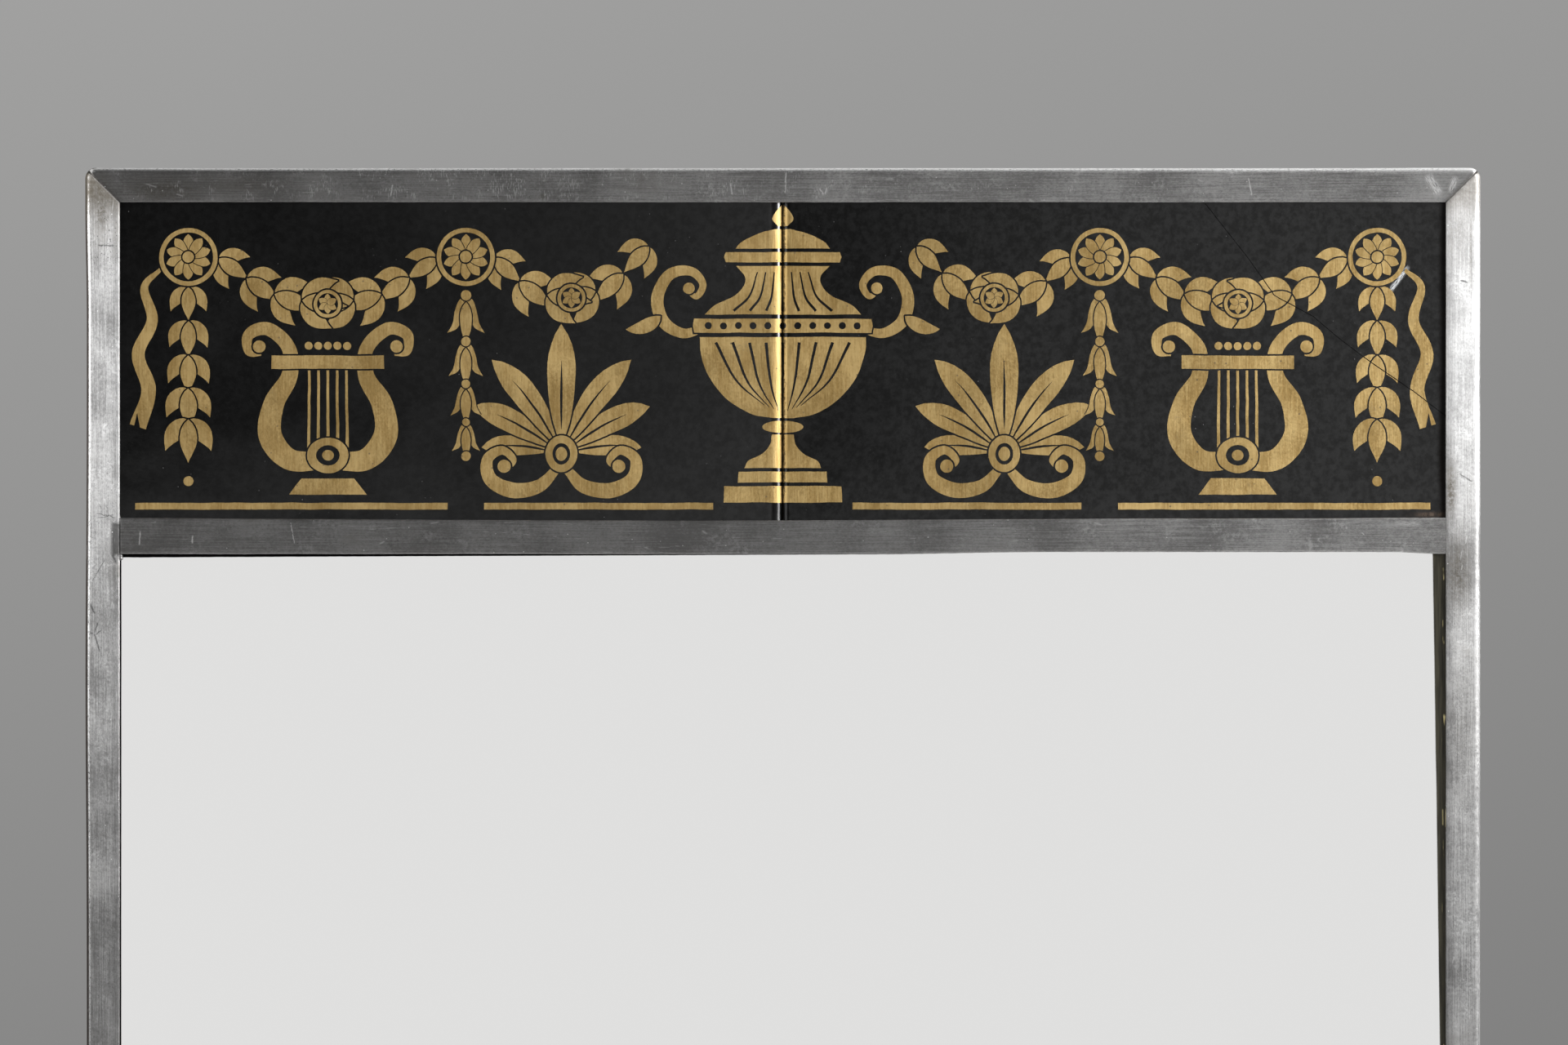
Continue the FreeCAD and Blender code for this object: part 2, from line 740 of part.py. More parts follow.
def hanger_ring(name, x):
    """A wire ring bent to a D, its ends meeting inside the knuckle. It hangs clear of the strap."""
    rise = strap_thickness + size("ring_lay_gap") + ring_radius - knuckle_radius
    lean = math.degrees(math.asin(rise.mm / bow_reach.mm))
    body = new_body(f"{name}_hanger_ring", (x, pivot_depth, NIL), Rotation(Vector(1, 0, 0), lean))
    half_gap, corner = size("ring_end_gap") / 2, size("ring_corner")
    places = [
        (-half_gap, NIL),
        (corner - bow_radius, NIL),
        (-bow_radius, -corner),
        (-bow_radius, -size("ring_leg")),
        (NIL, -bow_reach),
        (bow_radius, -size("ring_leg")),
        (bow_radius, -corner),
        (bow_radius - corner, NIL),
        (half_gap, NIL),
    ]
    path = add_sketch(body, "XZ_Plane")
    draw_run(path, places, [None, corner, None, bow_radius, bow_radius, None, corner, None])
    section = add_sketch(body, "YZ_Plane", -half_gap)
    draw_circle(section, (NIL, NIL), ring_radius)
    wire = body.newObject("PartDesign::AdditivePipe", f"{body.Name}_wire")
    wire.Profile = section
    wire.Spine = path
    doc.recompute()


def hanger_screws(name, x):
    """The strap's two screws."""
    depth = strap_thickness - size("recess_depth") - size("screw_sink")
    shapes = []
    for i, drop in enumerate(strap_screws):
        place = Vector(x.mm, depth.mm, -drop.mm)
        shapes.append(driven(HANGER_SCREW, place, Vector(0, -1, 0), SCREW_TURN * (i + 1)))
    gather(f"{name}_hanger_screws", shapes)


for name, x in {"left": -hanger_x, "right": hanger_x}.items():
    hanger_strap(name, x)
    hanger_ring(name, x)
    hanger_screws(name, x)


# the finished pieces, each checked before it is written

PATTERNS = (BOARD_SCREW, HANGER_SCREW, PIN)
doc.recompute()
for thing in doc.Objects:
    if any(word in thing.State for word in ("Invalid", "Error")):
        raise RuntimeError(f"{thing.Name} failed: {thing.State}")
pieces = [o for o in doc.Objects if o.TypeId in ("PartDesign::Body", "Part::Feature") and o not in PATTERNS]
for piece in pieces:
    if piece.Shape.isNull() or not piece.Shape.isValid():
        raise RuntimeError(f"{piece.Label} has no sound shape")

os.makedirs("parts", exist_ok=True)
for piece in pieces:
    piece.Shape.exportStep(f"parts/{piece.Label}.step")
print(f"{len(pieces)} nodes, {sum(len(p.Shape.Solids) for p in pieces)} solids")
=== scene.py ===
import json
import math
from functools import reduce
from itertools import product

import bmesh
import bpy
from mathutils import Matrix, Vector, geometry, noise


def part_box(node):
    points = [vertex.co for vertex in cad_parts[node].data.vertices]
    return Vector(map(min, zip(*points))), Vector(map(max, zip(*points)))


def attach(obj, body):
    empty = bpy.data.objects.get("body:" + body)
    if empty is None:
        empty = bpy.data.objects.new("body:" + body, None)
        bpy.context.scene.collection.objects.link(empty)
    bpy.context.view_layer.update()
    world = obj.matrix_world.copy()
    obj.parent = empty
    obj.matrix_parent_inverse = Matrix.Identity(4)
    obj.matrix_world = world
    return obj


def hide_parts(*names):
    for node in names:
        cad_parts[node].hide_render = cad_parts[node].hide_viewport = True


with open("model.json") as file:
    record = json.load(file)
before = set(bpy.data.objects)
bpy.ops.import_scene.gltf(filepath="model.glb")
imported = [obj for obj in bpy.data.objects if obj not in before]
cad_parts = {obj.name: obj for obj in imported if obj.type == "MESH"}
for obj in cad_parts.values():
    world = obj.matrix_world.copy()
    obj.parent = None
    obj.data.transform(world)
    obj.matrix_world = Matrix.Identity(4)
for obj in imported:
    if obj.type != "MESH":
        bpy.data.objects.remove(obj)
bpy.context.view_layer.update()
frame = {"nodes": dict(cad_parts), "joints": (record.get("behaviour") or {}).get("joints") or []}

# The looks of a neoclassical wall mirror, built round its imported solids. X runs to the right, Y back
# to the wall and Z up. Lengths are in metres, and those of a profile or a drawing in millimetres.

MM = 0.001
BODY = "mirror_body"
NODES = frame["nodes"]

# the metal strip and the glass, as the solids have them
FRAME_HALF_WIDTH = 230.0
FRAME_TOP = 70.0
FRAME_BOTTOM = -850.0
FRAME_MIDDLE = (FRAME_TOP + FRAME_BOTTOM) / 2
FRAME_HEIGHT = FRAME_TOP - FRAME_BOTTOM
FRAME_FRONT = -20.0
FRAME_DEPTH = 20.0
FACE_WIDTH = 11.4
SIDE_WALL = 1.5
LIP_THICKNESS = 1.6
TRANSOM_FACE = 12.0
TRANSOM_MIDDLE = -51.4
TRANSOM_FRONT = -19.7
SIGHT_HALF_WIDTH = FRAME_HALF_WIDTH - FACE_WIDTH
PANEL_FOOT = TRANSOM_MIDDLE + TRANSOM_FACE / 2
GLASS_FRONT = -18.2
GLASS_BACK = -13.2


class Wire:
    """One output of a node. Arithmetic on it adds Math nodes to its tree."""

    def __init__(self, tree, socket):
        self.tree, self.socket = tree, socket

    def maths(self, operation, *others):
        return self.tree.maths(operation, self, *others)

    def __add__(self, other):
        return self.maths("ADD", other)

    def __radd__(self, other):
        return self.tree.maths("ADD", other, self)

    def __sub__(self, other):
        return self.maths("SUBTRACT", other)

    def __rsub__(self, other):
        return self.tree.maths("SUBTRACT", other, self)

    def __mul__(self, other):
        return self.maths("MULTIPLY", other)

    def __rmul__(self, other):
        return self.tree.maths("MULTIPLY", other, self)

    def __truediv__(self, other):
        return self.maths("DIVIDE", other)

    def __pow__(self, other):
        return self.maths("POWER", other)

    def __abs__(self):
        return self.maths("ABSOLUTE")

    def at_least(self, other):
        return self.maths("MAXIMUM", other)

    def at_most(self, other):
        return self.maths("MINIMUM", other)

    def bell(self, width):
        """One where the value is nought, falling off to nought within about the width."""
        share = self / width
        return (-1.0 * share * share).maths("EXPONENT")

    def ramp(self, low, high, start=0.0, end=1.0, smooth=True):
        """The value taken from one range to another, and held at its ends."""
        kind = "SMOOTHSTEP" if smooth else "LINEAR"
        inputs = {0: self, 1: low, 2: high, 3: start, 4: end}
        return self.tree.out("ShaderNodeMapRange", inputs, interpolation_type=kind)

    def noise(self, scale, detail=2.0, roughness=0.5):
        inputs = {"Vector": self, "Scale": scale, "Detail": detail, "Roughness": roughness}
        return self.tree.out("ShaderNodeTexNoise", inputs)

    def cells(self, scale, feature="F1"):
        """How far off the middle or the edge of a cell is, in a pattern of random cells."""
        inputs = {"Vector": self, "Scale": scale}
        return self.tree.out("ShaderNodeTexVoronoi", inputs, "Distance", feature=feature)


class Tree:
    """A shader or geometry node tree, with short ways to add to it."""

    def __init__(self, tree):
        self.tree = tree

    def feed(self, socket, value):
        if isinstance(value, Wire):
            self.tree.links.new(value.socket, socket)
        else:
            socket.default_value = value

    def add(self, kind, inputs=None, **settings):
        """A node with its settings made and its inputs fed, by their names or places."""
        node = self.tree.nodes.new(kind)
        for name, value in settings.items():
            setattr(node, name, value)
        for key, value in (inputs or {}).items():
            self.feed(node.inputs[key], value)
        return node

    def out(self, kind, inputs=None, output=0, **settings):
        """One output of a new node."""
        return Wire(self, self.add(kind, inputs, **settings).outputs[output])

    def maths(self, operation, *values):
        return self.out("ShaderNodeMath", dict(enumerate(values)), operation=operation)

    def parts(self, vector):
        """The X, Y and Z of a vector."""
        node = self.add("ShaderNodeSeparateXYZ", {0: vector})
        return [Wire(self, socket) for socket in node.outputs]

    def joined(self, x=0.0, y=0.0, z=0.0):
        return self.out("ShaderNodeCombineXYZ", {0: x, 1: y, 2: z})


class Finish(Tree):
    """A material with one Principled surface."""

    def __init__(self, name, **sockets):
        self.material = bpy.data.materials.new(name)
        self.material.use_nodes = True
        super().__init__(self.material.node_tree)
        self.surface = self.tree.nodes["Principled BSDF"]
        for socket, value in sockets.items():
            self.surface.inputs[socket.replace("_", " ")].default_value = value
        self.place = self.out("ShaderNodeTexCoord", output="Object")
        self.base = None

    def set(self, socket, value):
        self.feed(self.surface.inputs[socket], value)

    def mixed(self, share, first, second):
        """Two colours mixed by a share."""
        inputs = {0: share, 6: first, 7: second}
        return self.out("ShaderNodeMix", inputs, 2, data_type="RGBA")

    def paint(self, share, first, second=None):
        """The base colour mixed from two by a share, or one more colour laid over it."""
        pair = (self.base, first) if second is None else (first, second)
        self.base = self.mixed(share, *pair)
        self.set("Base Color", self.base)

    def stretched(self, scale, turn=(0.0, 0.0, 0.0), place=None):
        """Places scaled along each axis, so that a pattern on them is drawn out."""
        inputs = {"Vector": place or self.place, "Rotation": turn, "Scale": scale}
        return self.out("ShaderNodeMapping", inputs)

    def noise(self, scale, detail=2.0, roughness=0.5):
        return self.place.noise(scale, detail, roughness)

    def upright(self, squeeze, scale, detail=2.0, roughness=0.5):
        """Noise drawn out up and down."""
        return self.stretched((1.0, 1.0, squeeze)).noise(scale, detail, roughness)

    def attribute(self, name):
        return self.out("ShaderNodeAttribute", output="Fac", attribute_name=name)

    def dots(self, scale, radius, share):
        """Small round spots, in a share of the cells of a pattern."""
        cells = self.add("ShaderNodeTexVoronoi", {"Vector": self.place, "Scale": scale})
        chance, _, _ = self.parts(Wire(self, cells.outputs["Color"]))
        far = Wire(self, cells.outputs["Distance"])
        return far.ramp(radius, radius * 0.6) * chance.ramp(share, share - 0.02)

    def laid(self, middle, **frame_of):
        """X, Y and Z as they are from a middle, in a frame that is scaled or turned."""
        inputs = {"Vector": self.place, "Location": middle, **frame_of}
        return self.parts(self.out("ShaderNodeMapping", inputs, vector_type="TEXTURE"))

    def spot(self, x, z, wide, tall):
        """A soft blot about a place, all in millimetres."""
        across, _, up = self.laid((x * MM, 0, z * MM), Scale=(wide * MM, 1.0, tall * MM))
        return (-1.0 * (across * across + up * up)).maths("EXPONENT")

    def beside(self, start, end):
        """The way along a line from one place to another, and the way off it, with its length."""
        a, b = Vector(start) * MM, Vector(end) * MM
        way = b - a
        run, _, off = self.laid((a.x, 0, a.y), Rotation=(0, -math.atan2(way.y, way.x), 0))
        return run, off, way.length

    def scratch(self, start, end, width, rough):
        """A scratch between two places in millimetres, pushed about and thinned by a rough field."""
        run, off, length = self.beside(start, end)
        fade = run.ramp(-0.0001, 0.0008) * run.ramp(length + 0.0001, length - 0.0008)
        return (off + (rough - 0.5) * 0.0012).bell(width * MM) * fade * rough.ramp(0.3, 0.5, 0.35, 1.0)

    def scuff(self, start, end, width):
        """A broad streaky mark from one place to another, in millimetres."""
        run, off, length = self.beside(start, end)
        fade = run.ramp(0.0, 0.0015) * run.ramp(length, length - 0.0025)
        streaks = self.joined(run * 0.12, off, 0.0).noise(4200.0, 3.0)
        return (off.bell(width * MM) * 1.8).at_most(1.0) * fade * streaks.ramp(0.4, 0.54)

    def relief(self, *layers):
        """Bumps, each a height field and the depth that it spans in metres."""
        normal = None
        for height, depth in layers:
            inputs = {"Strength": 1.0, "Distance": depth, "Height": height}
            if normal is not None:
                inputs["Normal"] = normal
            normal = self.out("ShaderNodeBump", inputs)
        self.set("Normal", normal)


def grey(value, warmth=0.0):
    """A grey, a little warm or cool."""
    return (value * (1 + warmth), value, value * (1 - warmth), 1.0)


# finishes

# marks of use on the metal, from place to place in millimetres, and how wide each one is
BRIGHT_SCRATCHES = [
    ((1.1, 68.8), (0.8, 61.4), 0.2), ((-17.4, 65.2), (-16.6, 60.8), 0.2),
    ((12.0, 63.4), (13.6, 60.8), 0.25), ((14.6, 63.6), (13.8, 60.9), 0.25),
    ((-211.7, -49.6), (-212.0, -54.6), 0.2), ((-194.5, -51.0), (-194.6, -54.2), 0.2),
    ((-162.3, -46.8), (-160.9, -54.1), 0.14), ((153.4, 66.8), (154.6, 60.6), 0.2),
    ((-128.5, 64.6), (-129.3, 60.2), 0.2), ((-207.0, -46.5), (-206.5, -47.1), 0.3),
    ((185.3, -48.4), (186.1, -49.2), 0.35), ((190.7, -50.2), (191.8, -51.4), 0.16),
]
DARK_SCRATCHES = [
    ((-225.9, 44.4), (-220.0, 44.2), 0.26), ((-223.2, -59.0), (-227.6, -66.4), 0.11),
    ((-228.4, -73.6), (-226.6, -77.3), 0.3), ((-225.5, -79.6), (-226.9, -83.6), 0.18),
    ((-226.9, -83.4), (-225.0, -89.9), 0.22), ((-228.7, -83.4), (-226.9, -83.6), 0.2),
    ((-226.5, -84.1), (-224.3, -82.2), 0.2), ((223.0, 32.9), (226.0, 32.1), 0.3),
    ((-221.0, -57.3), (-219.5, -60.6), 0.3), ((222.8, -31.0), (227.4, -33.6), 0.22),
    ((-226.4, -43.8), (-219.8, -45.4), 0.13), ((-226.0, -45.6), (-220.2, -44.4), 0.11),
    ((-225.4, -40.5), (-224.6, -42.4), 0.1),
]
# broad scuffs, with their widths and strengths
SCUFFS = [
    ((212.1, 68.0), (216.9, 60.4), 1.1, 1.33), ((221.9, 67.4), (219.6, 61.0), 0.8, 1.2),
    ((201.0, -47.0), (212.0, -47.6), 0.7, 0.5),
]
# blots, each with its middle, its half width and half height, and its strength
STAINS = [
    (220.2, -36.0, 1.9, 10.0, 0.95), (222.6, -63.0, 4.5, 13.0, 0.78), (223.0, 50.0, 3.5, 11.0, 0.42),
    (-224.6, 56.0, 3.6, 11.0, 0.85), (-204.0, 62.6, 13.0, 3.6, 0.7), (-180.0, 64.0, 14.0, 3.2, 0.45),
    (-219.6, 50.0, 1.6, 9.0, 0.5), (-217.4, -62.0, 4.0, 4.0, 0.45), (224.0, -112.0, 5.0, 28.0, 0.3),
    (220.4, 48.0, 1.6, 10.0, 0.4), (226.7, 46.0, 0.45, 15.0, 0.6), (-79.0, 60.6, 0.9, 0.9, 0.8),
]


def pewter():
    """Worn strip metal: fine lines along it, a mottled skin, nicks, scratches, stains and seams dulled by
    solder, with painted highlights and painted shade.
    """
    finish = Finish("pewter", Metallic=1.0, Anisotropic=0.82)
    strip = finish.out("ShaderNodeUVMap", uv_map="strip")
    finish.set("Tangent", finish.out("ShaderNodeTangent", direction_type="UV_MAP", uv_map="strip"))
    # the way round the section: the side wall ends at 18 mm, the rolled edge at 21 mm, the face at 30 mm
    girth, _, _ = finish.parts(strip)
    x, _, z = finish.parts(finish.place)
    lines = finish.stretched((1.0, 0.02, 1.0), place=strip).noise(2400.0, 3.0, 0.6)
    dashes = finish.stretched((1.0, 0.45, 1.0), place=strip).noise(2300.0, 3.0, 0.75)
    skin = finish.noise(700.0, 4.0, 0.75)
    cloud = finish.noise(40.0, 5.0, 0.6)
    tone = lines * 0.27 + dashes * 0.23 + skin * 0.17 + cloud * 0.33
    finish.paint(tone.ramp(0.4, 0.6), grey(0.245, 0.01), grey(0.515, 0.005))
    worn = finish.noise(120.0, 4.0, 0.6).ramp(0.54, 0.68) * skin.ramp(0.44, 0.62)
    finish.paint(worn * 0.36, grey(0.8))

    # the two sides up to their mitres, a painted highlight on the top of the right one, and painted shade
    # on the inner part of both
    past_mitre = (abs(z - FRAME_MIDDLE * MM) - (FRAME_HEIGHT / 2 - FACE_WIDTH) * MM).at_least(0.0)
    uprights = (abs(x) - past_mitre).ramp(0.2178, 0.2184)
    finish.paint(x.ramp(0.2, 0.22) * z.ramp(-0.03, 0.0) * 0.15, grey(0.8))
    finish.paint(girth.ramp(0.027, 0.0294) * uprights * 0.3, grey(0.1))
    # painted shade: the rails darker at the left, and the left side darker low down
    shade_left_and_low = (x + z).ramp(0.16, -0.08, 0.0, 0.48) * (1.0 - uprights)
    shade_left_and_low = shade_left_and_low.at_least(z.ramp(-0.1, -0.22, 0.0, 0.3) * x.ramp(0.0, -0.1))
    finish.paint(shade_left_and_low, grey(0.1, 0.02))
    # the left side's rolled outer edge painted dark, as painted shade where it turns from the light and as
    # brown tarnish, and painted highlights along it and along the top rail's top edge
    left = x.ramp(-0.2262, -0.227)
    finish.paint(girth.ramp(0.021, 0.0202) * left * 0.6, grey(0.12, 0.06))
    rim = (girth + (skin - 0.5) * 0.0004).ramp(0.0199, 0.0196) * left
    rim = rim * girth.ramp(0.012, 0.018, 0.2, 1.0)
    finish.paint(rim * 0.85, (0.05, 0.037, 0.031, 1.0))
    top = z.ramp(0.0672, 0.0678) * (1.0 - uprights)
    edge_highlight = ((girth - 0.0203).bell(0.00032) * left).at_least((girth - 0.0194).bell(0.0006) * top * 0.85)
    edge_highlight = edge_highlight * dashes.ramp(0.36, 0.48)
    finish.paint(edge_highlight * 0.9, grey(0.95))

    # the tinned patch where the bar's end laps the left side
    beyond = (x + (skin - 0.5) * 0.002).ramp(-0.2222, -0.2204) * x.ramp(-0.2181, -0.2183)
    joint = beyond * (abs(z + 0.0524) + (skin - 0.5) * 0.002).ramp(0.0062, 0.0046)
    finish.paint(joint * 0.84, grey(0.055, 0.02))

    # stains, pits and the dull metal beside the solder
    stain = cloud.ramp(0.56, 0.75) * skin.ramp(0.35, 0.6, 0.35, 1.0) * 0.55
    blotched = skin.ramp(0.34, 0.6, 0.25, 1.0)
    for *spot, strength in STAINS:
        stain = stain.at_least(finish.spot(*spot) * blotched * strength)
    grimed = z.ramp(0.047, 0.0625) * uprights * x.ramp(-0.1, 0.1, 0.97, 0.74)
    stain = stain.at_least(grimed * skin.ramp(0.34, 0.6, 0.7, 1.0))
    finish.paint(stain, (0.1, 0.088, 0.07, 1.0))
    pitted = finish.noise(60.0, 2.0).ramp(0.5, 0.6, 0.03, 1.0)
    pitted = (pitted * x.ramp(-0.1, 0.1, 0.4, 0.2)).at_least(finish.spot(-223.0, 46.0, 6.0, 12.0))
    pits = finish.dots(1000.0, 0.24, 0.8) * pitted
    finish.paint(pits * 0.8, grey(0.05))
    seam = finish.attribute("soldered")
    finish.paint(seam * skin.ramp(0.35, 0.6, 0.45, 0.85), grey(0.1, 0.05))
    finish.paint(seam.ramp(0.85, 0.99) * 0.6, grey(0.03))

    # scratches: fine ones that cross every way, those of the tables, bright specks and ticks
    crossing = []
    for turn, scale in ((0.5, 90.0), (-0.9, 130.0), (1.45, 110.0), (1.7, 70.0)):
        slanted = finish.stretched((1.0, 0.06, 1.0), (0.0, 0.0, turn), strip)
        far = slanted.cells(scale, feature="DISTANCE_TO_EDGE")
        kept = strip.noise(60.0 + scale, 1.0).ramp(0.6, 0.68)
        crossing.append(far.ramp(0.007, 0.0) * kept * 0.4)
    crossing += [finish.scratch(*row, skin) for row in BRIGHT_SCRATCHES]
    crossing += [finish.scuff(*row) * strength for *row, strength in SCUFFS]
    crossing.append(finish.dots(420.0, 0.1, 0.28) * 0.8)
    ticks = finish.upright(0.24, 2500.0, 2.0).ramp(0.5, 0.64)
    patches = (finish.noise(150.0, 3.0, 0.6) - abs(x + 0.09) * 0.8).ramp(0.44, 0.58)
    crossing.append(ticks * patches * z.ramp(0.0585, 0.0605) * (1.0 - uprights) * 0.5)
    bright = reduce(Wire.at_least, crossing)
    dark = finish.scratch(*DARK_SCRATCHES[0], skin)
    for row in DARK_SCRATCHES[1:]:
        dark = dark.at_least(finish.scratch(*row, skin))
    finish.paint(bright * 0.75, grey(0.95))
    finish.paint(dark * 0.8, grey(0.05))
    rough = cloud.ramp(0.3, 0.75, 0.4, 0.5) + lines * 0.08 - 0.04
    finish.set("Roughness", rough + seam * 0.06 + rim * 0.1 - bright * 0.08)
    heights = lines * 0.4 + dashes * 0.6
    finish.relief((heights, 0.00003), (skin - pits * 1.4, 0.000016), (cloud, 0.0003))
    return finish.material


def solder():
    """Dull tinned solder with a frosted skin."""
    finish = Finish("solder", Metallic=1.0)
    frost = finish.noise(900.0, 4.0, 0.6)
    cloud = finish.noise(220.0, 3.0)
    finish.paint(cloud, grey(0.08, 0.03), grey(0.26, 0.01))
    finish.set("Roughness", frost.ramp(0.3, 0.7, 0.36, 0.55))
    finish.relief((frost, 0.00006), (cloud, 0.0003))
    return finish.material


def black_glass():
    """Polished black glass, faintly mottled and lighter towards the right as a painted reflection, with
    dust, a scuff, a brownish band by the bar, a crack with painted shade in its groove, and a right edge in
    painted shade with its reflection turned down.
    """
    finish = Finish("black_glass", IOR=1.5)
    x, _, _ = finish.parts(finish.place)
    mottle = finish.noise(520.0, 4.0, 0.6)
    cloud = finish.noise(30.0, 2.0)
    mark = finish.scuff((199.7, 28.6), (206.6, 37.9), 0.55)
    # a brownish band low at the right, just above the bar
    brownish_band = finish.spot(213.5, -44.4, 5.0, 0.75) * mottle.ramp(0.35, 0.6, 0.2, 0.7)
    dust = finish.dots(420.0, 0.07, 0.6) * finish.noise(45.0, 2.0).ramp(0.5, 0.66)
    smear = finish.noise(19.0, 3.0).ramp(0.52, 0.68)
    # painted reflection: the mottled colour of the glass grows lighter towards the right
    spread = mottle.ramp(0.34, 0.66) * x.ramp(-0.08, 0.1, 0.4, 1.0)
    finish.paint(spread, grey(0.0008), grey(0.0042, -0.02))
    finish.paint(dust * 0.4, grey(0.25))
    finish.paint(mark * 0.85, grey(0.42, -0.02))
    # painted shade: the crack's groove painted darker than the glass
    finish.paint(finish.attribute("crack"), grey(0.0004))
    # painted shade: a dark strip down the right edge beside the frame, with its reflection turned down as
    # well
    edge = (x + (cloud - 0.5) * 0.002).ramp(0.2156, 0.218)
    finish.paint(edge * 0.9, (0.0022, 0.0014, 0.001, 1.0))
    finish.paint(brownish_band, (0.075, 0.052, 0.036, 1.0))
    seam = x.ramp(0.0022, 0.0014) * x.ramp(0.0, 0.0001)
    eased = x.ramp(-0.0045, -0.0025) * x.ramp(0.0, -0.0001)
    finish.set("Specular IOR Level", (0.44 + spread * 0.12) * (1.0 - edge * 0.85) * (1.0 - seam * 0.6))
    rough = cloud.ramp(0.35, 0.65, 0.07, 0.11) + smear * 0.03
    finish.set("Roughness", rough + (dust + mark + brownish_band) * 0.4 + seam * 0.25 + eased * 0.1)
    finish.relief((mottle, 0.000003), (cloud, 0.00008))
    return finish.material


def gold_leaf():
    """Matte gilding laid on by brush: upright strokes, thin places, worn spots and a chipped edge, with
    painted shade towards the left.
    """
    finish = Finish("gold_leaf")
    strokes = finish.upright(0.07, 1900.0, 4.0, 0.6)
    broad = finish.upright(0.3, 240.0, 3.0)
    cloud = finish.noise(55.0, 3.0)
    grain = finish.noise(1500.0, 3.0, 0.65)
    tone = strokes * 0.3 + broad * 0.3 + cloud * 0.2 + grain * 0.2
    finish.paint(tone.ramp(0.38, 0.62), (0.29, 0.188, 0.064, 1.0), (0.46, 0.33, 0.14, 1.0))
    holes = finish.dots(330.0, 0.13, 0.4)
    finish.paint(holes * 0.75, (0.05, 0.035, 0.02, 1.0))
    worn = finish.noise(95.0, 4.0, 0.7).ramp(0.62, 0.72) * grain.ramp(0.45, 0.6)
    finish.paint(worn * 0.45, (0.09, 0.075, 0.05, 1.0))
    x, _, _ = finish.parts(finish.place)
    chipped = x.ramp(0.0017, 0.0003) * x.ramp(0.0, 0.0001)
    chipped = (finish.noise(800.0, 3.0, 0.7) + chipped * 0.12).ramp(0.6, 0.64) * chipped
    finish.paint(chipped * 0.85, (0.03, 0.022, 0.014, 1.0))
    # painted shade: the gold darker towards the left, and a little darker in a band right of the middle
    gold_shade = x.ramp(0.2, -0.2, 0.0, 0.26, smooth=False) + (x - 0.055).bell(0.05) * 0.12
    finish.paint(gold_shade, (0.12, 0.075, 0.02, 1.0))
    finish.set("Metallic", 0.82 - holes * 0.5)
    finish.set("Roughness", (grain * 0.5 + cloud * 0.5).ramp(0.35, 0.65, 0.42, 0.56))
    finish.relief((strokes, 0.00005), (grain, 0.00002))
    return finish.material


def mirror_glass():
    """Silvered glass with painted shadow lines at its top and left, and a bare tapering strip down its
    right edge, with painted glints near the frame.
    """
    finish = Finish("mirror_glass", Metallic=1.0)
    x, _, z = finish.parts(finish.place)
    ragged = finish.upright(0.12, 300.0, 4.0, 0.6) - 0.5
    border = 0.2142 + (-0.057 - z) * 0.0147 + ragged * 0.0003
    bare = (x - border).ramp(-0.0001, 0.0003)
    # painted shadow: dark lines under the bar and down the left edge, where the frame's lip shades the
    # plate
    top_line = x.ramp(-0.21, 0.05, 0.0011, 0.0, smooth=False)
    rise = x.ramp(0.033, 0.087, 0.0, 0.0007)
    line = (z + 0.0574 + top_line - rise + ragged * 0.0002).ramp(-0.0001, 0.0001)
    line = line.at_least((x + 0.2181 + ragged * 0.0002).ramp(0.0001, -0.0001))
    upright = finish.upright(0.05, 1500.0, 3.0)
    # painted highlights: golden glints near the frame, in the bare strip
    painted_glints = upright.ramp(0.55, 0.62) * finish.noise(120.0, 2.0).ramp(0.54, 0.6)
    painted_glints = painted_glints * x.ramp(0.2172, 0.218)
    dead_dark, dead_light = (0.022, 0.02, 0.014, 1.0), (0.045, 0.041, 0.028, 1.0)
    worn = finish.mixed(upright.ramp(0.35, 0.65), dead_dark, dead_light)
    # the strip's colour with the painted glints laid over it
    worn = finish.mixed(painted_glints, worn, (0.7, 0.6, 0.3, 1.0))
    finish.paint(bare, grey(0.93, -0.002), worn)
    finish.paint(line, grey(0.004))
    finish.set("Metallic", 1.0 - bare * 0.5)
    finish.set("Roughness", 0.012 + bare * 0.3 + line * 0.4)
    return finish.material


def darker(colour, share):
    return tuple(c * share for c in colour[:3]) + (1.0,)


def wood(name, dark, light, long_axis, scale=1.0):
    """Planed wood with its grain along one axis: year rings, fibres, pores and handling marks."""
    finish = Finish(name)
    drawn = finish.stretched(tuple(0.045 if axis == long_axis else 1.0 for axis in "XYZ"))
    x, y, z = finish.parts(drawn)
    across, along = (z, x) if long_axis == "X" else (x, z)
    drift = drawn.noise(26.0, 3.0) * 0.045 + drawn.noise(7.0, 1.0) * 0.16
    heart, depth = across - 0.035, y + 0.03
    way = (heart * heart + depth * depth) ** 0.5 + drift + along * 0.25
    year = (way * (190.0 * scale)).maths("FRACT")
    rings = year ** 2.2 * year.ramp(1.0, 0.9) * drawn.noise(55.0).ramp(0.3, 0.7, 0.45, 1.0)
    fibres = drawn.noise(1500.0, 4.0, 0.65)
    pores = drawn.noise(2600.0, 2.0).ramp(0.66, 0.74)
    age = finish.noise(9.0, 4.0, 0.6)
    tone = rings * 0.27 + fibres * 0.38 + age * 0.35
    finish.paint(tone.ramp(0.25, 0.75), dark, light)
    finish.paint(age.ramp(0.55, 0.75) * 0.45, darker(dark, 0.45))
    finish.paint(pores * 0.5, darker(dark, 0.35))
    finish.set("Roughness", 0.62 + fibres * 0.16 - 0.05)
    finish.relief((rings, 0.00006), (fibres - pores, 0.00012))
    return finish.material


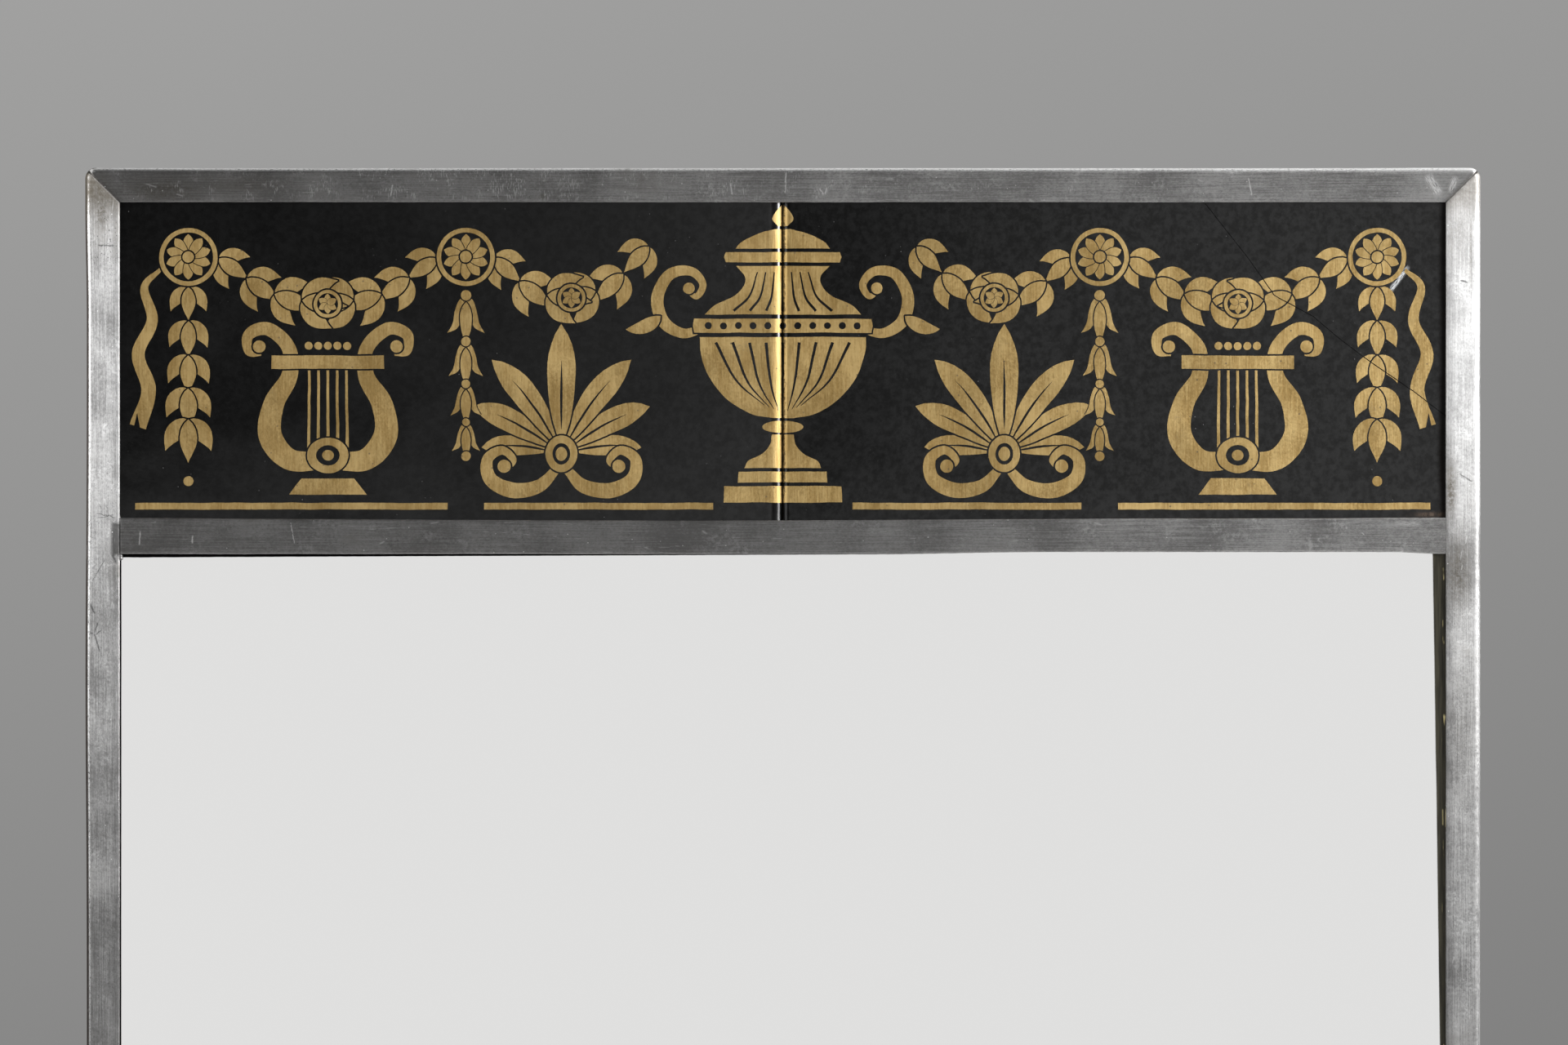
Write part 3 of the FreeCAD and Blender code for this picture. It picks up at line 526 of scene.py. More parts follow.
def hardwood():
    """Cut hardwood, mostly seen on its end grain."""
    finish = Finish("hardwood")
    pores = finish.place.cells(2400.0).ramp(0.3, 0.12)
    cloud = finish.noise(300.0, 3.0)
    finish.paint(cloud, (0.21, 0.115, 0.055, 1.0), (0.4, 0.25, 0.14, 1.0))
    finish.paint(pores * 0.6, (0.07, 0.035, 0.018, 1.0))
    finish.set("Roughness", 0.6 + cloud * 0.15)
    finish.relief((pores * -1.0, 0.00008))
    return finish.material


def backing():
    """Brown strawboard."""
    finish = Finish("backing")
    straw = finish.upright(0.3, 1100.0, 4.0, 0.7)
    cloud = finish.noise(12.0, 3.0)
    tone = straw * 0.7 + cloud * 0.3
    finish.paint(tone, (0.19, 0.14, 0.095, 1.0), (0.4, 0.33, 0.25, 1.0))
    finish.set("Roughness", 0.82 + straw * 0.1)
    finish.relief((straw, 0.00008))
    return finish.material


def brass():
    """Aged brass, brown in the lows and brighter where it is handled."""
    finish = Finish("brass", Metallic=1.0)
    cloud = finish.noise(190.0, 4.0, 0.6)
    lines = finish.upright(0.06, 2600.0, 3.0)
    finish.paint(cloud.ramp(0.35, 0.65), (0.66, 0.47, 0.2, 1.0), (0.31, 0.2, 0.08, 1.0))
    finish.set("Roughness", cloud.ramp(0.3, 0.7, 0.26, 0.44) + lines * 0.05)
    finish.relief((lines, 0.00002), (cloud, 0.00008))
    return finish.material


def steel():
    """Dull steel with a little rust."""
    finish = Finish("steel")
    cloud = finish.noise(700.0, 4.0, 0.65)
    rust = cloud.ramp(0.55, 0.68)
    finish.paint(rust, grey(0.38, 0.02), (0.16, 0.075, 0.035, 1.0))
    finish.set("Metallic", 1.0 - rust * 0.75)
    finish.set("Roughness", 0.34 + rust * 0.4)
    finish.relief((cloud, 0.00005))
    return finish.material


def pale_floor():
    finish = Finish("pale_floor")
    cloud = finish.noise(3.0, 3.0)
    finish.paint(cloud, grey(0.45, 0.01), grey(0.5, 0.01))
    finish.set("Roughness", 0.6 + cloud * 0.1)
    return finish.material


PINE = ((0.36, 0.215, 0.105, 1.0), (0.62, 0.43, 0.25, 1.0))
BOARD = ((0.25, 0.16, 0.085, 1.0), (0.46, 0.32, 0.19, 1.0))
FINISHES = {
    "pewter": pewter(),
    "solder": solder(),
    "black_glass": black_glass(),
    "gold_leaf": gold_leaf(),
    "mirror_glass": mirror_glass(),
    "pine_upright": wood("pine_upright", *PINE, "Z"),
    "pine_level": wood("pine_level", *PINE, "X"),
    "back_board": wood("back_board", *BOARD, "Z", 0.7),
    "hardwood": hardwood(),
    "backing": backing(),
    "brass": brass(),
    "steel": steel(),
}


# meshes

# points nearer than this are one point, in metres
SAME_PLACE = 1e-6


def new_object(name, mesh):
    thing = bpy.data.objects.new(name, mesh)
    bpy.context.scene.collection.objects.link(thing)
    return thing


def opened(*meshes, merge=0.0):
    """One or more meshes as a bmesh, with its doubles merged if a distance is given."""
    work = bmesh.new()
    for mesh in meshes:
        work.from_mesh(mesh)
    if merge:
        bmesh.ops.remove_doubles(work, verts=work.verts, dist=merge)
    return work


def written(work, mesh):
    """The bmesh written to a mesh, or to a new one of the name given."""
    if isinstance(mesh, str):
        mesh = bpy.data.meshes.new(mesh)
    work.to_mesh(mesh)
    work.free()
    return mesh


def smoothed(mesh, sharp):
    """The mesh shaded smooth, but for edges over an angle in degrees."""
    mesh.shade_smooth()
    mesh.set_sharp_from_angle(angle=math.radians(sharp))
    return mesh


def closed(mesh, merge=SAME_PLACE):
    """Merges doubles, fills open ends, turns the faces outwards and shades the soft edges smooth."""
    work = opened(mesh, merge=merge)
    bmesh.ops.holes_fill(work, edges=[e for e in work.edges if e.is_boundary], sides=0)
    bmesh.ops.recalc_face_normals(work, faces=work.faces)
    smoothed(written(work, mesh), sharp=32)


def placed(mesh, place, turn, axis="Y"):
    """Turns the mesh about an axis, by degrees, and moves it to a place in metres."""
    mesh.transform(Matrix.Translation(Vector(place)) @ Matrix.Rotation(math.radians(turn), 4, axis))


def mounted(name, mesh, finish, *nodes, body=BODY):
    """The finished piece: one material, one body, and the solids that it stands for."""
    mesh.materials.clear()
    mesh.materials.append(FINISHES[finish])
    piece = new_object(name, mesh)
    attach(piece, body)
    if nodes:
        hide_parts(*nodes)
    return piece


def plain_mesh(name, places, faces=(), edges=()):
    mesh = bpy.data.meshes.new(name)
    mesh.from_pydata(places, edges, faces)
    return mesh


def grown(name, tree, settings, start=None):
    """What a geometry tree makes with the settings given, as a plain mesh."""
    carrier = new_object(f"{name}_carrier", start or bpy.data.meshes.new(f"{name}_start"))
    modifier = carrier.modifiers.new("tree", "NODES")
    modifier.node_group = tree
    sockets = {s.name: s.identifier for s in tree.interface.items_tree if s.in_out == "INPUT"}
    for label, value in settings.items():
        modifier[sockets[label]] = value
    carrier.update_tag()
    ready = carrier.evaluated_get(bpy.context.evaluated_depsgraph_get())
    mesh = bpy.data.meshes.new_from_object(ready)
    carrier.modifiers.remove(modifier)
    bpy.data.objects.remove(carrier)
    mesh.name = name
    return mesh


class Recipe(Tree):
    """A geometry tree with named inputs."""

    def __init__(self, name, **inputs):
        super().__init__(bpy.data.node_groups.new(name, "GeometryNodeTree"))
        kinds = {float: "Float", int: "Int", "object": "Object", "material": "Material"}
        face = self.tree.interface
        face.new_socket("Geometry", in_out="INPUT", socket_type="NodeSocketGeometry")
        for label, value in inputs.items():
            kind = kinds[value] if isinstance(value, str) else kinds[type(value)]
            socket = face.new_socket(label, in_out="INPUT", socket_type=f"NodeSocket{kind}")
            if not isinstance(value, str):
                socket.default_value = value
        face.new_socket("Geometry", in_out="OUTPUT", socket_type="NodeSocketGeometry")
        self.entry = self.tree.nodes.new("NodeGroupInput")
        self.exit = self.tree.nodes.new("NodeGroupOutput")

    def input(self, label):
        return Wire(self, self.entry.outputs[label])

    def model(self, label):
        """The shape of the object that is given as an input."""
        return self.out("GeometryNodeObjectInfo", {"Object": self.input(label)}, "Geometry")

    def stored(self, shape, name, value, kind, domain):
        """The shape with a value stored on it under a name."""
        inputs = {"Geometry": shape, "Name": name, "Value": value}
        settings = {"data_type": kind, "domain": domain}
        return self.out("GeometryNodeStoreNamedAttribute", inputs, **settings)

    def end(self, shape):
        """Realize Instances and Set Material, then out."""
        whole = self.out("GeometryNodeRealizeInstances", {"Geometry": shape})
        inputs = {"Geometry": whole, "Material": self.input("Material")}
        self.feed(self.exit.inputs[0], self.out("GeometryNodeSetMaterial", inputs))
        return self.tree


def strip_recipe():
    """Drawn metal strip: a profile run along a length, mitred at both ends and worked a little uneven."""
    tree = Recipe(
        "drawn_strip",
        Profile="object",
        Material="material",
        Stations=200,
        Length=1.0,
        Mitre=1.0,
        Width=FACE_WIDTH * MM,
        CornerRound=0.0036,
        Wave=0.00022,
        Slack=0.0,
        SlackMiddle=0.0,
        SlackReach=0.05,
        Seed=0.0,
    )
    section = tree.model("Profile")
    inputs = {"Geometry": section}
    size = tree.out("GeometryNodeAttributeDomainSize", inputs, "Point Count", component="MESH")
    inputs = {"Size X": 1.0, "Size Y": 1.0, "Vertices X": size, "Vertices Y": tree.input("Stations")}
    grid = tree.out("GeometryNodeMeshGrid", inputs)
    grid_x, grid_y, _ = tree.parts(tree.out("GeometryNodeInputPosition"))
    station = ((grid_x + 0.5) * (size - 1.0)).maths("ROUND")
    here = tree.out("GeometryNodeInputPosition")
    inputs = {"Geometry": section, "Value": here, "Index": station}
    point = tree.out("GeometryNodeSampleIndex", inputs, data_type="FLOAT_VECTOR", domain="POINT")
    across, depth, girth = tree.parts(point)

    # the stations crowd towards the ends, where the mitres are
    share = grid_y * 2.0
    crowded = share * 1.45 - share * share * share * 0.45
    half = tree.input("Length") * 0.5
    run = crowded * (half - across * tree.input("Mitre"))
    from_end = half - abs(run)
    seam = (from_end - across).bell(0.0011) * tree.input("Mitre")
    groove = (from_end - across).bell(0.0003) * tree.input("Mitre")

    # unevenness fades out before the mitres, so that these still meet
    calm = from_end.ramp(0.012, 0.05)
    seeded = tree.input("Seed") * 7.3
    slow = tree.joined(run, seeded, 0.0).noise(14.0, 2.0) - 0.5
    quick = tree.joined(run, seeded, 5.0).noise(75.0, 2.0) - 0.5
    other = tree.joined(run, seeded, 9.0).noise(11.0, 2.0)
    inner = across / tree.input("Width")
    wave = tree.input("Wave")
    off_middle = (run - tree.input("SlackMiddle")) / tree.input("SlackReach")
    slack = tree.input("Slack") * (1.0 - off_middle.bell(1.0))
    shift = inner * (slow * 1.6 + quick * 0.6) * wave + (1.0 - inner) * (other * wave + slack)
    moved = across + shift * calm

    # the outer corner is filed round: squares about its middle become circles
    radius = tree.input("CornerRound")
    side = (radius - moved).at_least(0.0)
    end = (radius - from_end).at_least(0.0)
    squeeze = side.at_least(end) / ((side * side + end * end) ** 0.5).at_least(1e-9)
    across_now = moved + side * (1.0 - squeeze)
    end_now = from_end + end * (1.0 - squeeze)
    along = (half - end_now) * run.maths("SIGN")
    dents = (tree.joined(run, across, seeded).noise(60.0, 2.0) - 0.5) * 0.00008
    deep = (depth + groove * 0.00014 + dents.at_least(0.0)).at_most(FRAME_DEPTH * MM)

    held = tree.add("GeometryNodeCaptureAttribute", {"Geometry": grid})
    kept = {"Arc": girth, "Run": run, "Seam": seam}
    for label, value in kept.items():
        held.capture_items.new("FLOAT", label)
        tree.feed(held.inputs[label], value)
    girth_held, run_held, seam_held = (Wire(tree, held.outputs[label]) for label in kept)
    inputs = {"Geometry": Wire(tree, held.outputs[0]), "Position": tree.joined(across_now, deep, along)}
    shape = tree.out("GeometryNodeSetPosition", inputs)
    shape = tree.stored(shape, "strip", tree.joined(girth_held, run_held, 0.0), "FLOAT2", "CORNER")
    shape = tree.stored(shape, "soldered", seam_held, "FLOAT", "POINT")
    shape = tree.out("GeometryNodeMergeByDistance", {"Geometry": shape, "Distance": SAME_PLACE})
    return tree.end(shape)


STRIP = strip_recipe()


def profile_object(name, points):
    """A closed profile for the strip. Its points carry their way round in place of a height."""
    ring = [Vector(p) * MM for p in [*points, points[0]]]
    way, places = 0.0, []
    for i, point in enumerate(ring):
        way += (point - ring[i - 1]).length if i else 0.0
        places.append((point.x, point.y, way))
    return new_object(name, plain_mesh(name, places))


def arc(centre, radius, start, end, count):
    """Points on an arc between two angles in degrees."""
    angles = [math.radians(start + (end - start) * i / count) for i in range(count + 1)]
    return [(centre[0] + radius * math.cos(a), centre[1] + radius * math.sin(a)) for a in angles]


def moulding_profile():
    """The moulding's section: a side wall, a rolled outer edge, a face a little crowned and a lip."""
    roll, lip_round, crown_top, crown = 2.0, 0.4, 4.6, 0.24

    def crowned(x, y):
        fall = max(0.0, (x - crown_top) / (FACE_WIDTH - crown_top))
        return x, y + crown * fall * fall

    face = [(roll + (FACE_WIDTH - lip_round - roll) * i / 9, 0.0) for i in range(1, 9)]
    front = arc((roll, roll), roll, 180, 270, 10) + face
    front += arc((FACE_WIDTH - lip_round, lip_round), lip_round, 270, 360, 4)
    inside = [(FACE_WIDTH, LIP_THICKNESS), (SIDE_WALL, LIP_THICKNESS), (SIDE_WALL, FRAME_DEPTH)]
    return [(0.0, FRAME_DEPTH), (0.0, 11.0)] + [crowned(*p) for p in front] + inside


MOULDING = profile_object("moulding_profile", moulding_profile())


def moulding(node, length, stations, turn, place, seed, **settings):
    """One mitred side of the metal frame."""
    inputs = {"Profile": MOULDING, "Material": FINISHES["pewter"], "Length": length * MM}
    mesh = grown(node, STRIP, {**inputs, "Stations": stations, "Seed": seed, **settings})
    placed(mesh, Vector(place) * MM, turn)
    closed(mesh)
    mounted(node.replace("_moulding", "_strip"), mesh, "pewter", node)


# the left side's outer edge bows out a little below the bar, as the rest of it is drawn in
SLACKNESS = {"Slack": 0.00045, "SlackMiddle": 0.292, "SlackReach": 0.055, "Wave": 0.0001}
FRAME_WIDTH = FRAME_HALF_WIDTH * 2
LEFT_SIDE = (-FRAME_HALF_WIDTH, FRAME_FRONT, FRAME_MIDDLE)
RIGHT_SIDE = (FRAME_HALF_WIDTH, FRAME_FRONT, FRAME_MIDDLE)
moulding("left_stile_moulding", FRAME_HEIGHT, 560, 0, LEFT_SIDE, 1.0, **SLACKNESS)
moulding("right_stile_moulding", FRAME_HEIGHT, 560, 180, RIGHT_SIDE, 2.0)
moulding("top_rail_moulding", FRAME_WIDTH, 380, 90, (0, FRAME_FRONT, FRAME_TOP), 3.0)
moulding("bottom_rail_moulding", FRAME_WIDTH, 380, -90, (0, FRAME_FRONT, FRAME_BOTTOM), 4.0)


def smooth_step(value, low, high):
    """A value taken from nought to one between two limits, slowly at both ends."""
    share = min(max((value - low) / (high - low), 0.0), 1.0)
    return share * share * (3 - 2 * share)


def transom():
    """The bar under the panes: a flat strip in front and the web that runs on behind it."""
    thick, edge = LIP_THICKNESS - 0.3, 0.6
    flat = arc((edge, edge), edge, 180, 270, 5)
    flat += [(edge + (TRANSOM_FACE - 2 * edge) * i / 8, 0.0) for i in range(1, 8)]
    flat = [(x, max(y, 0.0)) for x, y in flat]
    flat += arc((TRANSOM_FACE - edge, edge), edge, 270, 360, 5)
    flat += [(TRANSOM_FACE, thick), (0.0, thick)]
    section = profile_object("transom_profile", flat)
    inputs = {"Profile": section, "Material": FINISHES["pewter"], "Length": SIGHT_HALF_WIDTH * 2 * MM}
    inputs.update(Stations=300, Mitre=0.0, CornerRound=0.0, Width=TRANSOM_FACE * MM, Wave=0.00035, Seed=5.0)
    face = grown("transom_face", STRIP, inputs)
    placed(face, Vector((0, TRANSOM_FRONT, PANEL_FOOT)) * MM, 90)
    # the upper edge sags a little left of the middle and the lower edge rises to the right
    bend, sag_middle, sag_reach = 0.75, -29, 121
    for vert in face.vertices:
        x, rise = vert.co.x / MM, vert.co.z / MM - TRANSOM_MIDDLE
        if rise > 0:
            shift = -bend * math.exp(-(((x - sag_middle) / sag_reach) ** 2))
        else:
            shift = bend * smooth_step(x, 33, 87) * smooth_step(x, 218, 198)
        vert.co.z += shift * min(1.0, abs(rise) / TRANSOM_FACE * 2) * MM
    low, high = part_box("transom_bar")
    half_web = 0.001
    web = block(
        (low.x, (FRAME_FRONT + LIP_THICKNESS) * MM, TRANSOM_MIDDLE * MM - half_web),
        (high.x, high.y, TRANSOM_MIDDLE * MM + half_web),
    )
    for mesh in (face, web):
        closed(mesh)
    whole = written(opened(face, web), "transom_strip")
    mounted("transom_strip", whole, "pewter", "transom_bar")
    bpy.data.objects.remove(section)


def block(low, high):
    """A closed block between two corners."""
    places = list(product(*zip(low, high)))
    faces = [(0, 1, 3, 2), (4, 6, 7, 5), (0, 4, 5, 1), (2, 3, 7, 6), (0, 2, 6, 4), (1, 5, 7, 3)]
    return plain_mesh("block", places, faces)


transom()
bpy.data.objects.remove(MOULDING)


# the glass

SEAM_HALF_GAP = 0.15
# how far in from the seam each pane is eased, and how far back, the left pane first
SEAM_EASE = {-1: (4.6, 2.1), 1: (2.2, 1.5)}
SEAM_SHARES = (0.0, 0.004, 0.015, 0.04, 0.08, 0.14, 0.22, 0.32, 0.44, 0.57, 0.7, 0.85, 1.0)
CRACK = [
    (131.6, 67.1), (139.7, 57.7), (153.3, 40.4), (160.8, 29.9), (163.5, 27.1), (175.0, 20.9),
    (183.0, 14.1), (192.3, 7.0), (205.6, -2.1), (218.3, -11.6), (227.0, -17.8),
]


def on_pane(x, proud=0.0):
    """The X and Y of a pane's front at a distance across it, with its seam edge ground round."""
    side = 1 if x > 0 else -1
    reach, drop = SEAM_EASE[side]
    share = 1 - min(max(abs(x) - SEAM_HALF_GAP, 0.0), reach) / reach
    rest = math.sqrt(1 - share * share)
    tilt = math.atan2(drop * share, reach * rest)
    return x - side * math.sin(tilt) * proud, GLASS_FRONT + drop * (1 - rest) - math.cos(tilt) * proud


def turned_left(outline):
    """The outline, running so that its inside lies on its left."""
    area = sum(a[0] * b[1] - b[0] * a[1] for a, b in zip(outline, outline[1:] + outline[:1]))
    return outline if area > 0 else outline[::-1]


def seam_lines(side, low, high, places, edges):
    """Upright lines near the seam edge, so that a flat cut bends round it."""
    for share in SEAM_SHARES:
        x = side * (SEAM_HALF_GAP + share * SEAM_EASE[side][0])
        edges.append((len(places), len(places) + 1))
        places += [(x, low), (x, high)]


def cut_flat(places, edges, outlines):
    """The plane cut along edges and outlines: its points, its faces, and the outlines over each face."""
    places = [Vector(p) for p in places]
    flat, _, faces, _, _, over = geometry.delaunay_2d_cdt(places, edges, outlines, 1, 1e-5)
    return flat, faces, over


def corners(parts):
    return [part for part in parts if isinstance(part, bmesh.types.BMVert)]


def pane(name, side, cracked):
    """A pane of black glass with its seam edge ground round. The cracked one has a real groove."""
    low, high = (Vector(corner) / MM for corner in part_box(name))
    arris = 0.3
    left, right = low.x + arris * (side < 0), high.x - arris * (side > 0)
    places = [(left, low.z), (right, low.z), (right, high.z), (left, high.z)]
    edges, outline = [], [(0, 1, 2, 3)]
    seam_lines(side, low.z, high.z, places, edges)
    crack_depth, crack_half_width = 0.11, 0.12
    line = [Vector(p) for p in CRACK]
    if cracked:
        ends = [line[min(i + 1, len(line) - 1)] - line[max(i - 1, 0)] for i in range(len(line))]
        for offset in (-crack_half_width, 0.0, crack_half_width):
            first = len(places)
            for point, way in zip(line, ends):
                across = Vector((-way.y, way.x)).normalized()
                places.append(tuple(point + across * offset))
            edges += [(i, i + 1) for i in range(first, len(places) - 1)]
    flat, faces, _ = cut_flat(places, edges, outline)

    def groove(point):
        if not cracked:
            return 0.0
        far = min((point - nearest(point, a, b)).length for a, b in zip(line, line[1:]))
        return max(0.0, 1 - far / crack_half_width)

    work = bmesh.new()
    layer = work.verts.layers.float.new("crack")
    verts = []
    for point in flat:
        depth = groove(point)
        x, y = on_pane(point.x)
        vert = work.verts.new((x * MM, (y + depth * crack_depth) * MM, point.y * MM))
        vert[layer] = depth
        verts.append(vert)
    for face in faces:
        work.faces.new([verts[i] for i in face])
    rim = [e for e in work.edges if e.is_boundary]
    raised = bmesh.ops.extrude_edge_only(work, edges=rim)["geom"]
    outer = right if side > 0 else left
    for vert in corners(raised):
        vert.co.y = GLASS_BACK * MM
        vert[layer] = 0.0
        if abs(vert.co.x / MM - outer) < 0.01:
            vert.co.x += side * arris * MM
    mesh = written(work, name)
    closed(mesh, SAME_PLACE / 10)
    mounted(name.replace("_pane", "_glass"), mesh, "black_glass", name)


def nearest(point, start, end):
    """The point of a straight line between two places that is nearest to a third."""
    way = end - start
    share = max(0.0, min(1.0, (point - start).dot(way) / way.length_squared))
    return start + way * share


pane("left_black_pane", -1, False)
pane("right_black_pane", 1, True)


# the gilded frieze, drawn in millimetres from the middle of the panel and its lower sight line

def curve(points, per=9):
    """A smooth open line through the points."""
    points = [Vector(p) for p in points]
    points = [points[0] * 2 - points[1], *points, points[-1] * 2 - points[-2]]
    line = []
    for a, b, c, d in zip(points, points[1:], points[2:], points[3:]):
        for i in range(per):
            t = i / per
            square, cube = (2 * a - 5 * b + 4 * c - d) * t**2, (3 * b - a - 3 * c + d) * t**3
            line.append(0.5 * (2 * b + (c - a) * t + square + cube))
    return line + [points[-2]]


def stroke(points, widths):
    """The outline of a brush stroke along a smooth line, as wide at each point as the width given."""
    line = curve(points)
    spread = [w.x for w in curve([(w, 0) for w in widths])]
    left, right = [], []
    for i, point in enumerate(line):
        way = line[min(i + 1, len(line) - 1)] - line[max(i - 1, 0)]
        across = Vector((-way.y, way.x)).normalized() * max(spread[i], 0.05) / 2
        left.append(point + across)
        right.append(point - across)
    return left + right[::-1]


def disc(centre, radius, tall=1.0, count=30):
    """A round or oval outline."""
    x, z = centre
    angles = [math.tau * i / count for i in range(count)]
    return [Vector((x + radius * math.cos(a), z + radius * tall * math.sin(a))) for a in angles]


def leaf(root, length, width, lean, bend=0.0, belly=0.42, tip=0.8):
    """A pointed leaf from its root, leaning from upright by an angle and bent further by its tip."""
    count, left, right = 12, [], []
    place, heading = Vector(root), lean
    for i in range(count + 1):
        t = i / count
        way = Vector((math.sin(heading), math.cos(heading)))
        swell = (t / belly) ** 0.75 if t < belly else ((1 - t) / (1 - belly)) ** tip
        half = width / 2 * math.sin(math.pi / 2 * min(swell, 1.0))
        across = Vector((-way.y, way.x)) * max(half, 0.04)
        left.append(place + across)
        right.append(place - across)
        place = place + way * (length / count)
        heading += bend / count
    return left + right[::-1]


def even(profile):
    """A shape that is the same on both sides of the middle, from its right-hand profile."""
    return list(profile) + [Vector((-p[0], p[1])) for p in reversed(profile)]


def swollen(outline, gap):
    """The outline grown by a gap all round."""
    outline = turned_left([Vector(p) for p in outline])
    count, out = len(outline), []
    for i, point in enumerate(outline):
        before, after = point - outline[i - 1], outline[(i + 1) % count] - point
        if before.length < 1e-6 or after.length < 1e-6:
            continue
        normal = Vector((before.y, -before.x)).normalized() + Vector((after.y, -after.x)).normalized()
        if normal.length < 0.3:
            normal = before.normalized() * 1.4
        out.append(point + normal.normalized() * gap * min(1.6, 2 / max(normal.length, 1.25)))
    return out


class Frieze:
    """Shapes laid one over another. Each gold one keeps a thin black line round itself."""

    def __init__(self):
        self.layers = []

    def lay(self, outline, gap=0.55, twin=True):
        if gap:
            self.put(swollen(outline, gap), False, twin)
        self.put(outline, True, twin)

    def lay_middle(self, profile):
        """A gold shape across the middle, from its right-hand profile."""
        self.lay(even(profile), twin=False)

    def engrave(self, outline, twin=True):
        self.put(outline, False, twin)

    def put(self, outline, gold, twin):
        outline = [Vector(p) for p in outline]
        self.layers.append((outline, gold))
        if twin:
            self.layers.append(([Vector((-p.x, p.y)) for p in outline], gold))


def urn(frieze):
    """A covered urn with a fluted bowl and scrolled handles, on a stepped plinth."""
    handle = [(26, 62.5), (33, 60.8), (39.6, 65.0), (41.2, 73.2), (37.0, 80.4), (30.2, 81.2)]
    handle += [(26.4, 77.0), (28.4, 73.0), (31.4, 74.6)]
    frieze.lay(stroke(handle, [2.4, 3.2, 4.0, 4.0, 3.6, 3.0, 2.4, 2.0, 1.3]))
    frieze.lay(disc((31.0, 75.6), 1.9))
    frieze.lay(leaf((40.4, 66.5), 12.5, 4.6, 2.35, -0.9))
    frieze.lay_middle([(19.5, 5.0), (19.3, 10.4)])
    frieze.lay_middle([(14.8, 11.6), (14.5, 15.2)])
    frieze.lay_middle(curve([(12.6, 16.4), (11.4, 18.8), (7.0, 21.0), (4.3, 24.0), (3.6, 27.4)]))
    frieze.lay(disc((0, 29.9), 6.8, 0.3), twin=False)
    bowl = curve([(3.4, 32.8), (10.5, 34.2), (18.6, 39.2), (24.4, 46.6), (27.0, 54.0), (27.4, 59.6)])
    frieze.lay_middle(bowl)
    for k in range(-4, 5):
        flute = [(k * 1.5, 34.6 + abs(k) * 0.6), (k * 3.9, 43.5 + abs(k) * 0.5), (k * 5.5, 57.8)]
        frieze.engrave(stroke(flute, [0.2, 0.7, 1.0]), twin=False)
    frieze.lay_middle([(29.2, 61.0), (29.6, 63.3), (29.2, 65.6)])
    for k in range(6):
        frieze.engrave(disc((k * 4.9, 63.3), 1.15, count=16), twin=k > 0)
    neck = curve([(25.8, 67.0), (22.4, 70.2), (16.0, 73.2), (12.8, 76.8), (12.6, 79.8), (15.4, 83.0)])
    frieze.lay_middle(neck)
    for k in range(-3, 4):
        flute = [(k * 5.4, 68.2), (k * 3.7, 73.0), (k * 2.8, 81.0)]
        frieze.engrave(stroke(flute, [0.9, 0.7, 0.4]), twin=False)
    frieze.lay_middle([(18.8, 84.2), (19.4, 86.0), (18.8, 87.6)])
    frieze.lay_middle(curve([(15.6, 88.8), (13.4, 91.2), (7.6, 93.8), (2.6, 95.2)]))
    frieze.lay_middle(curve([(1.6, 96.2), (3.5, 98.4), (2.2, 101.0), (0.1, 103.4)]))


def laurel(frieze, line, count, size):
    """Leaves in threes along a line, each three pointing onwards."""
    for i in range(count):
        share = (i + 0.1) / count
        at = share * (len(line) - 1)
        here = line[int(at)]
        way = line[min(int(at) + 1, len(line) - 1)] - line[max(int(at) - 1, 0)]
        heading = math.atan2(way.x, way.y)
        scale = size * (0.82 + 0.3 * share)
        for turn, bend, long in ((0.98, -0.75, 0.92), (-0.98, 0.75, 0.92), (0.0, 0.0, 1.0)):
            length, width = 14.4 * scale * long, 6.0 * scale
            frieze.lay(leaf(here, length, width, heading + turn, bend, 0.45, 1.15), 0.5)


def swag(frieze, start, end, sag, count):
    """A laurel garland hung between two places, gathered under a small flower in its middle."""
    start, end = Vector(start), Vector(end)
    middle = (start + end) / 2 - Vector((0, sag))
    for hang in (start, end):
        quarter = (hang + middle) / 2 - Vector((0, sag * 0.27))
        line = curve([hang, quarter, middle], 20)
        laurel(frieze, line, count, 0.98)
    frieze.lay(disc(middle, 4.6))
    frieze.engrave(disc(middle, 3.5))
    for i in range(6):
        frieze.lay(leaf(middle, 3.3, 2.3, math.tau * i / 6), 0.12)


def patera(frieze, centre, radius):
    """A round flower in a rim."""
    frieze.lay(disc(centre, radius, count=44))
    frieze.engrave(disc(centre, radius - 1.5, count=40))
    for i in range(10):
        petal = leaf(centre, radius - 2.1, 3.2, math.tau * i / 10, belly=0.66)
        frieze.lay(petal, 0.25)
    frieze.lay(disc(centre, 1.9, count=18), 0.5)


